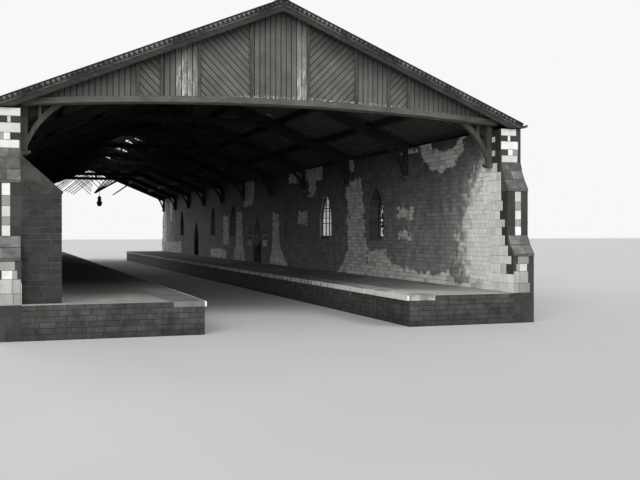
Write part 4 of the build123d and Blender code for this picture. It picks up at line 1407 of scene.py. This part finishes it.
def barge_strip(heap, side, end, top, bottom, back, front, raised):
    """A long strip of the board, mitred at the ridge and cut level at the foot."""
    outline = []
    for below, x in ((top, 0.0), (top, EAVES), (bottom, EAVES), (bottom, 0.0)):
        outline.append((x, BARGE_TOP - below / cos(ROOF_SLOPE) - ROOF_FALL * x))
    heap.sweep(
        lambda out, x, z: Vector((side * x, end * (VERGE + out), z)),
        (back, front), clip(outline, ((0, BARGE_CUT), (0, 1))), raised=raised,
    )


def carve_barge(end, name, node):
    heap = Heap("raised")
    for side in (1, -1):
        for strip in BARGE_STRIPS:
            barge_strip(heap, side, end, *strip)
        place = 0.06
        while place < SLOPE_LENGTH - 0.10:

            def corner(layer, along, below):
                out, grow = layer
                down = place + along * grow
                below = ORNAMENT_MIDDLE + (below - ORNAMENT_MIDDLE) * grow
                x = side * (down * cos(ROOF_SLOPE) - below * sin(ROOF_SLOPE))
                z = BARGE_TOP - down * sin(ROOF_SLOPE) - below * cos(ROOF_SLOPE)
                return Vector((x, end * (VERGE + out), z))

            heap.sweep(corner, ORNAMENT_ENDS, ORNAMENT, raised=1.0)
            place += ORNAMENT_STEP
    heap.make(name, barge_wood, "painted_timber", node)


barge_wood = timber_finish(
    "weathered_barge_boards", (0.012, 0.011, 0.010), (0.046, 0.043, 0.040), 0,
    raised=(0.150, 0.145, 0.135),
)
carve_barge(-1, "barge_boards_near_carved", "barge_boards_near")
carve_barge(1, "barge_boards_far_carved", "barge_boards_far")

# %% [markdown]
# ## Windows, doors and their dirt
#
# The bars and panes of a window are thin, so they are made here and not in the solid model: three
# panes by three in a large window, two by two in a sidelight, with bars between them. One window is
# near the inner face and its glass is nearly clean. The others lie deep in the wall, and their
# glass is black with soot, except along one side, where it is broken away and the daylight shows as
# a bright ragged slit.

# %% Glaze the windows
GLASS_HALF = 0.003
BAR_HALF = 0.009
BAR_DEPTH = 0.012
FRAME_WIDTH = 0.032
# the places of the upright bars across the window, then the levels of the other bars
WINDOW_LATTICE = ((-0.123, 0.123), (1.572, 1.929))
SIDELIGHT_LATTICE = ((0.0,), (1.19,))
BREAK_WIDTH = 0.21
BREAK_STEPS = (0.025, 0.07)
UNBROKEN_SHARE = 0.22
UNBROKEN_GAP = 0.02
DIRT = {"deep": 0.95, "flush": 0.02, "sidelight": 0.5}


def frame_plane(side, opening):
    """The middle of the frame's depth, across the building."""
    return side * (opening.frame_face + FRAME_DEPTH / 2)


def inside_frame(opening):
    """The outline of an opening inside its frame, along the wall and up."""
    return [(opening.place + y, z) for y, z in opening.outline(FRAME_WIDTH)]


def slab_on_wall(heap, x, outline, half, **numbers):
    """A thin plate in the plane of a wall, from points along it and up."""
    heap.sweep(lambda at, y, z: Vector((at, y, z)), (x - half, x + half), outline, **numbers)


def cut_panes(opening, uprights, levels):
    """The panes of a window inside its frame, and whether each is beside the right jamb."""
    columns = [-opening.half, *uprights, opening.half]
    rows = [opening.sill, *levels, opening.apex]
    for left, right in zip(columns, columns[1:]):
        between = upright_cuts(opening.place + left, opening.place + right)
        for row in zip(rows, rows[1:]):
            pane = clip(inside_frame(opening), *between, *level_cuts(*row))
            if pane:
                yield pane, right == opening.half


def bar_window(heap, x, opening, uprights, levels):
    radius = opening.width - FRAME_WIDTH
    for across in uprights:
        y = opening.place + across
        top = opening.spring + sqrt(radius**2 - (abs(across) + opening.half) ** 2)
        start, end = Vector((x, y, opening.sill + FRAME_WIDTH)), Vector((x, y, top))
        heap.bar(start, end, Vector((BAR_DEPTH, 0, 0)), Vector((0, BAR_HALF, 0)))
    for height in levels:
        half = opening.half_at(height, FRAME_WIDTH)
        start, end = (Vector((x, y, height)) for y in (opening.place - half, opening.place + half))
        heap.bar(start, end, Vector((BAR_DEPTH * 0.9, 0, 0)), Vector((0, 0, BAR_HALF)))


def break_edge(heap, x, pane, draw):
    """The part of a sooty pane that is left beside its broken edge, in ragged steps."""
    edge = max(y for y, _ in pane)
    height = min(z for _, z in pane)
    high = max(z for _, z in pane)
    while height < high - 0.004:
        top = min(height + draw.uniform(*BREAK_STEPS), high)
        whole = draw.random() < UNBROKEN_SHARE
        gone = UNBROKEN_GAP if whole else draw.uniform(0.35, 1.0) * BREAK_WIDTH
        piece = clip(pane, *level_cuts(height, top), ((edge - gone, 0), (-1, 0)))
        if piece:
            slab_on_wall(heap, x, piece, GLASS_HALF, dirt=draw.uniform(0.93, 1.0))
        height = top


bars = Heap()
panes = Heap("dirt")
draw = random.Random(61)
for side in (1, -1):
    for opening in openings_of(*DIRT):
        x = frame_plane(side, opening)
        lattice = SIDELIGHT_LATTICE if opening.kind == "sidelight" else WINDOW_LATTICE
        bar_window(bars, x, opening, *lattice)
        for pane, beside_jamb in cut_panes(opening, *lattice):
            if opening.kind == "deep" and beside_jamb:
                break_edge(panes, x, pane, draw)
            else:
                dirt = DIRT[opening.kind] + draw.uniform(-0.05, 0.05)
                slab_on_wall(panes, x, pane, GLASS_HALF, dirt=dirt)


def glass_finish():
    """Thin glass: the dirt on it makes it opaque, told by its alpha."""
    finish = Finish("dusty_glass", roughness=0.25, specular=0.5)
    dirt = finish.carried("dirt")
    cloud = finish.noise(9, 5)
    corners = finish.noise(40, 4)
    cover = finish.between(dirt + (cloud - 0.5) * 0.35 + (corners - 0.5) * 0.1, 0.0, 1.0, False)
    soot = finish.between(dirt, 0.7, 0.9)
    finish.use("Base Color", finish.blend(soot, (0.42, 0.42, 0.40), (0.022, 0.021, 0.02)))
    finish.use("Alpha", 0.07 + cover * 0.93)
    finish.use("Roughness", 0.15 + cover * 0.6)
    return finish


bar_wood = timber_finish("glazing_bars", (0.02, 0.02, 0.02), (0.09, 0.088, 0.08), 2)
bars.make("window_bars", bar_wood, "iron")
panes.make("window_panes", glass_finish(), "glass", "window_glass")

# %% [markdown]
# ## Boarded doorways
#
# The doorways are closed with old upright boards below a transom. Above it some boards have broken
# away, so a few bright gaps show. The same clipping cuts them to the pointed frame.

# %% Board up the doorways
TRANSOM = DOORWAY[2]
TRANSOM_HALF = 0.02
DOOR_BOARD = 0.108
DOOR_GAP = 0.004
DOOR_HALF = 0.008
BROKEN_SHARE = 0.45


def board_doorway(heap, side, opening, draw):
    x = frame_plane(side, opening)
    lower = clip(inside_frame(opening), ((0, TRANSOM - TRANSOM_HALF), (0, -1)))
    upper = clip(inside_frame(opening), ((0, TRANSOM + TRANSOM_HALF), (0, 1)))
    start = opening.place - opening.half
    while start < opening.place + opening.half:
        for part in (lower, upper):
            board = clip(part, *upright_cuts(start, start + DOOR_BOARD))
            if part is upper and board and draw.random() < BROKEN_SHARE:
                cut = TRANSOM + draw.uniform(0.05, 0.5)
                lean = draw.uniform(-0.4, 0.4)
                board = clip(board, ((start + DOOR_BOARD / 2, cut), (lean, -1)))
            if board:
                out = draw.uniform(-0.003, 0.003)
                slab_on_wall(heap, x + out, board, DOOR_HALF, tone=draw.random())
        start += DOOR_BOARD + DOOR_GAP


heap = Heap("tone")
draw = random.Random(67)
for side in (1, -1):
    for opening in openings_of("sidelit", "doorway"):
        board_doorway(heap, side, opening, draw)
door_wood = timber_finish("sooty_door_boards", (0.012, 0.011, 0.010), (0.06, 0.055, 0.05), 2)
heap.make("doorway_boards", door_wood, "painted_timber", "door_boards")

# %% [markdown]
# ## Platforms and their edge stones
#
# The edge of a platform is a row of coping stones that lie on coursed masonry. Traffic has rounded
# them and frost has chipped them, so every stone gets its own length, bevel and a slight tilt. Both
# rows have a worn pale line along the edge, and the right one is lime-washed near the open end.

# %% Lay the copings and the platform walls
RIGHT_EDGE = 1.75
LEFT_EDGE = -1.15
COPING_WIDTH = 0.45
COPING_DEPTH = 0.075
COPING_OVERHANG = 0.04
COPING_FOOT = PLATFORM - COPING_DEPTH
COPING_BEVEL = 0.014
COPING_RINGS = (
    (0.0, COPING_FOOT), (0.0, PLATFORM - COPING_BEVEL), (COPING_BEVEL, PLATFORM),
)
COPING_LENGTHS = (0.42, 0.62)
COPING_JOINT = 0.003
SHORT_COPING = 0.2
EDGE_LINE = 0.034


def lay_copings(edge, way, seed):
    heap = Heap("tone")
    draw = random.Random(seed)
    place = -PIER_END
    while place < PIER_END - 0.02:
        stop = min(place + draw.uniform(*COPING_LENGTHS), PIER_END)
        if PIER_END - stop < SHORT_COPING:
            stop = PIER_END
        inner = edge + way * draw.uniform(0.0, 0.010)
        tilt = draw.uniform(-0.003, 0.003)

        def corner(ring, back, far):
            inset, height = ring
            x = edge + way * COPING_WIDTH - way * inset * 0.3 if back else inner + way * inset
            gap = COPING_JOINT + inset * 0.4
            y = stop - gap if far else place + gap
            return Vector((x, y, height - (abs(tilt) if height == PLATFORM else 0.0)))

        tone = draw.random()
        for rings in (COPING_RINGS[:2], COPING_RINGS[1:]):
            heap.sweep(corner, rings, ((0, 0), (1, 0), (1, 1), (0, 1)), tone=tone)
        place = stop
    return heap


def coping_finish(name, level, line, near_level):
    """Worn stone with a pale edge; line is the reach of that edge, as two places across."""
    finish = Finish(name, roughness=0.9, specular=0.25)
    tone = finish.carried("tone")
    cloud = finish.noise(3.5, 5)
    grit = finish.noise(70, 5, roughness=0.7)
    worn = finish.noise(16, 5, roughness=0.65)
    open_air = 1 - finish.between(finish.axis("Y"), -15.2, -10.5)
    cleaner = open_air * finish.between(worn * 0.4 + cloud * 0.7, 0.30, 0.80)
    shade = level + (near_level - level) * cleaner
    shade = shade * (0.85 + tone * 0.3) * (0.6 + cloud * 0.8) * (0.8 + grit * 0.4)
    x = finish.axis("X") + (worn - 0.5) * 0.03
    band = finish.between(x, line[0] - 0.004, line[0] + 0.004)
    band = band * (1 - finish.between(x, line[1] - 0.004, line[1] + 0.004))
    band = band * finish.between(worn + open_air * 0.12, 0.46, 0.54)
    finish.use("Base Color", finish.blend(band, finish.tinted(shade), (0.74, 0.73, 0.70)))
    finish.relief(grit * 0.5 + worn * 0.5, 0.005)
    return finish


right_line = (RIGHT_EDGE - 0.02, RIGHT_EDGE + EDGE_LINE)
limewashed = coping_finish("limewashed_coping", 0.14, right_line, 0.66)
heap = lay_copings(RIGHT_EDGE, 1, 81)
heap.make("coping_stones_right", limewashed, "coping_stone", "copings")
left_line = (LEFT_EDGE - EDGE_LINE, LEFT_EDGE + 0.02)
lined = coping_finish("lined_coping", 0.16, left_line, 0.20)
heap = lay_copings(LEFT_EDGE, -1, 83)
heap.make("coping_stones_left", lined, "coping_stone", "copings")


def edge_wear(y, z):
    """The platform walls are darkest at their foot."""
    return {"wash": 0.055 - 0.02 * max(0.0, 1 - z / 0.2), "bare": 0.0}


heap = Heap("tone", "wash", "bare")
draw = random.Random(87)
for edge, way in ((RIGHT_EDGE, 1), (LEFT_EDGE, -1)):
    wall = long_wall(edge + way * COPING_OVERHANG, -way)
    lay_panel(heap, wall, -PIER_END, PIER_END, COURSE_FOOT, COPING_FOOT, edge_wear, draw)
for end in (1, -1):
    wall = Wall((0, end * PIER_END, 0), (1, 0, 0), (0, end, 0))
    for edge, way in ((RIGHT_EDGE, 1), (LEFT_EDGE, -1)):
        below = sorted((edge + way * COPING_OVERHANG, way * WALL_FACE))
        lay_panel(heap, wall, *below, COURSE_FOOT, COPING_FOOT, edge_wear, draw)
        beside = sorted((edge + way * COPING_WIDTH, way * WALL_FACE))
        lay_panel(heap, wall, *beside, COPING_FOOT, PLATFORM - 0.003, edge_wear, draw)
heap.make("platform_edge_stones", masonry_finish("platform_edge_stone", blotch=0.8), "masonry")


def paving_finish():
    """Rolled gravel and asphalt, patched and dusty, with a paler trodden strip."""
    finish = Finish("platform_gravel", roughness=0.95, specular=0.15)
    grit = finish.noise(160, 4, roughness=0.75)
    cloud = finish.noise(0.8, 5, (1, 0.45, 1))
    patch = finish.between(finish.noise(0.5, 3, (1.4, 0.4, 1)), 0.52, 0.58)
    along = finish.axis("Y") + (cloud - 0.5) * 2
    across = finish.axis("X")
    trodden = (1 - finish.between(along, -15.6, -13.2)) * finish.between(across, 1.9, 2.3)
    front = 1 - finish.between(along, -15.8, -14.0)
    front = front * (1 - finish.between(across, -1.75, -1.62))
    level = 0.15 + (cloud - 0.5) * 0.18 + (grit - 0.5) * 0.12 + patch * 0.08
    level = level + trodden * 0.28 + front * 0.20
    top = finish.between(finish.axis("Z"), PLATFORM - 0.006, PLATFORM - 0.002)
    level = 0.022 + (level - 0.022) * top
    finish.use("Base Color", finish.tinted(level, (1.0, 0.98, 0.94)))
    finish.relief(grit, 0.004)
    return finish


# %% [markdown]
# ## Ridge tiles
#
# The ridge is covered with short angled tiles. A fine gap and a little disorder between them keep
# the line from looking ruled.

# %% Set the ridge tiles
TILE_LENGTH = 0.225
TILE_REACH = 0.11
TILE_THICKNESS = 0.016
TILE_SECTION = (
    (0.0, 0.0), (TILE_REACH, 0.0), (TILE_REACH, TILE_THICKNESS), (0.0, TILE_THICKNESS),
)
heap = Heap("tone")
draw = random.Random(91)
place = -VERGE
while place < VERGE - 0.05:
    stop = min(place + TILE_LENGTH, VERGE)
    drop = draw.uniform(0.0, 0.003)
    for side in (1, -1):
        heap.sweep(
            lambda y, x, lift: Vector((side * x, y, RIDGE - ROOF_FALL * x + lift - drop)),
            (place + 0.002, stop - 0.002), TILE_SECTION, tone=draw.random(),
        )
    place = stop
clay = Finish("ridge_tile_clay", roughness=0.8)
cloud = clay.noise(14, 5)
shade = clay.between(clay.carried("tone") * 0.5 + cloud * 0.5, 0.2, 0.8)
clay.use("Base Color", clay.blend(shade, (0.05, 0.05, 0.05), (0.16, 0.155, 0.15)))
clay.relief(cloud, 0.003)
heap.make("ridge_tile_row", clay, "ridge_tile", "ridge_tiles")

# %% [markdown]
# ## The hanging lamp
#
# The solid lamp has twelve flat sides. Turned on a lathe it would be round, and that is how it is
# made here: a profile of radii and heights is swept about the rod's line in many small steps.

# %% Turn the lamp
LAMP_PLACE = FIRST_OPENING + (len(KINDS) - 1) * PITCH
LAMP_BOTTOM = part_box("hanging_lamp")[0].z
LAMP_STEPS = 40
GLOBE_PROFILE = (
    (0.004, 0.002), (0.025, 0.003), (0.045, 0.010), (0.070, 0.028), (0.092, 0.055),
    (0.106, 0.085), (0.112, 0.115), (0.108, 0.138), (0.095, 0.156),
)
HOOD_PROFILE = (
    (0.094, 0.158), (0.136, 0.158), (0.140, 0.163), (0.137, 0.169), (0.118, 0.184), (0.095, 0.201),
    (0.082, 0.216), (0.078, 0.230), (0.078, 0.318), (0.074, 0.324), (0.074, 0.366), (0.080, 0.371),
    (0.078, 0.381), (0.060, 0.406), (0.040, 0.426), (0.030, 0.441), (0.009, 0.444),
)


def turn(name, profile, finish, *replaces):
    corners = []
    for radius, height in profile:
        for step in range(LAMP_STEPS):
            angle = radians(360 * step / LAMP_STEPS)
            x, y = radius * cos(angle), LAMP_PLACE + radius * sin(angle)
            corners.append((x, y, LAMP_BOTTOM + height))
    last = (len(profile) - 1) * LAMP_STEPS
    faces = []
    for a in range(last):
        b = a + 1 if (a + 1) % LAMP_STEPS else a + 1 - LAMP_STEPS
        faces.append((a, b, b + LAMP_STEPS, a + LAMP_STEPS))
    faces.append(tuple(reversed(range(LAMP_STEPS))))
    faces.append(tuple(range(last, last + LAMP_STEPS)))
    mesh = bpy.data.meshes.new(name)
    mesh.from_pydata(corners, [], faces)
    mesh.shade_smooth()
    add_piece(mesh, name, finish, "lamp", *replaces)


def enamel_finish(name, dark, pale, roughness):
    finish = Finish(name, specular=0.5)
    dust = finish.between(finish.noise(18, 5) * 0.6 + finish.noise(90, 4) * 0.4, 0.4, 0.62)
    finish.use("Base Color", finish.blend(dust, dark, pale))
    finish.use("Roughness", roughness + dust * 0.35)
    return finish


sooty_globe = enamel_finish("sooty_globe", (0.05, 0.05, 0.048), (0.14, 0.14, 0.13), 0.2)
enamel = enamel_finish("chipped_enamel", (0.018, 0.018, 0.019), (0.07, 0.06, 0.05), 0.35)
turn("lamp_globe", GLOBE_PROFILE, sooty_globe)
turn("lamp_hood", HOOD_PROFILE, enamel, "hanging_lamp")

# %% [markdown]
# ## Finish the solids that stay
#
# The other solids already have their shape. A Weld and a Bevel modifier take the machine sharpness
# off their edges without changing their meshes, and each gets the finish of its own stuff.

# %% Finish the solid pieces
def dress(finish, names, bevel=0.004):
    for name in names.split():
        solid = cad_nodes[name]
        solid.data.materials.clear()
        solid.data.materials.append(finish.material)
        if bevel:
            weld = solid.modifiers.new("weld", "WELD")
            weld.merge_threshold = 0.0001
            edge = solid.modifiers.new("bevel", "BEVEL")
            edge.width = bevel
            edge.limit_method = "ANGLE"
            edge.angle_limit = radians(35)


def plain_stone(name, dark, pale):
    finish = Finish(name, roughness=0.92, specular=0.2)
    cloud = finish.noise(5, 6, roughness=0.6)
    grit = finish.noise(80, 5, roughness=0.7)
    share = finish.between(cloud * 0.65 + grit * 0.35, 0.3, 0.7)
    finish.use("Base Color", finish.blend(share, dark, pale))
    finish.relief(grit * 0.5 + cloud * 0.5, 0.004)
    return finish


def iron_finish():
    finish = Finish("rusty_cast_iron", specular=0.5)
    rust = finish.between(finish.noise(12, 6), 0.42, 0.62)
    finish.use("Base Color", finish.blend(rust, (0.03, 0.03, 0.031), (0.10, 0.065, 0.045)))
    finish.use("Roughness", 0.5 + rust * 0.4)
    finish.use("Metallic", 0.4 - rust * 0.4)
    finish.relief(finish.noise(60, 4), 0.001)
    return finish


dark_stone = plain_stone("sooty_dressed_stone", (0.035, 0.034, 0.031), (0.15, 0.145, 0.135))
sill_stone = plain_stone("sill_stone", (0.06, 0.058, 0.052), (0.22, 0.215, 0.20))
head_stone = plain_stone("sooty_head_stone", (0.016, 0.0155, 0.0145), (0.075, 0.072, 0.067))
door_frame = timber_finish("door_frame_wood", (0.02, 0.019, 0.017), (0.08, 0.075, 0.07), 2)
backing = timber_finish("panel_backing", (0.008, 0.008, 0.007), (0.02, 0.019, 0.017), 2)
dress(mortar, "wall_footings wall_dados wall_window_lifts wall_heads blocked_windows", 0)
dress(mortar, "end_piers outer_buttresses", 0)
dress(dark_stone, "inner_buttress", 0)
dress(dark_stone, "pier_upper_weatherings pier_lower_weatherings corbels", 0.006)
dress(head_stone, "buttress_heads", 0.005)
dress(sill_stone, "window_sills", 0.005)
dress(paving_finish(), "platform_right platform_left", 0)
dress(roof_wood_cross, "principal_rafters_right principal_rafters_left collar_beams")
dress(roof_wood_long, "purlins ridge_board eaves_plates")
dress(roof_wood_upright, "king_posts wall_posts truss_braces far_gable_slats loose_board")
dress(post_wood, "gable_posts gable_braces gable_studs")
dress(gable_wood, "gable_beam")
dress(door_frame, "door_frames")
dress(backing, "upright_panels slanting_panels", 0)
dress(iron_finish(), "gutters window_frames lamp_rod", 0.0015)
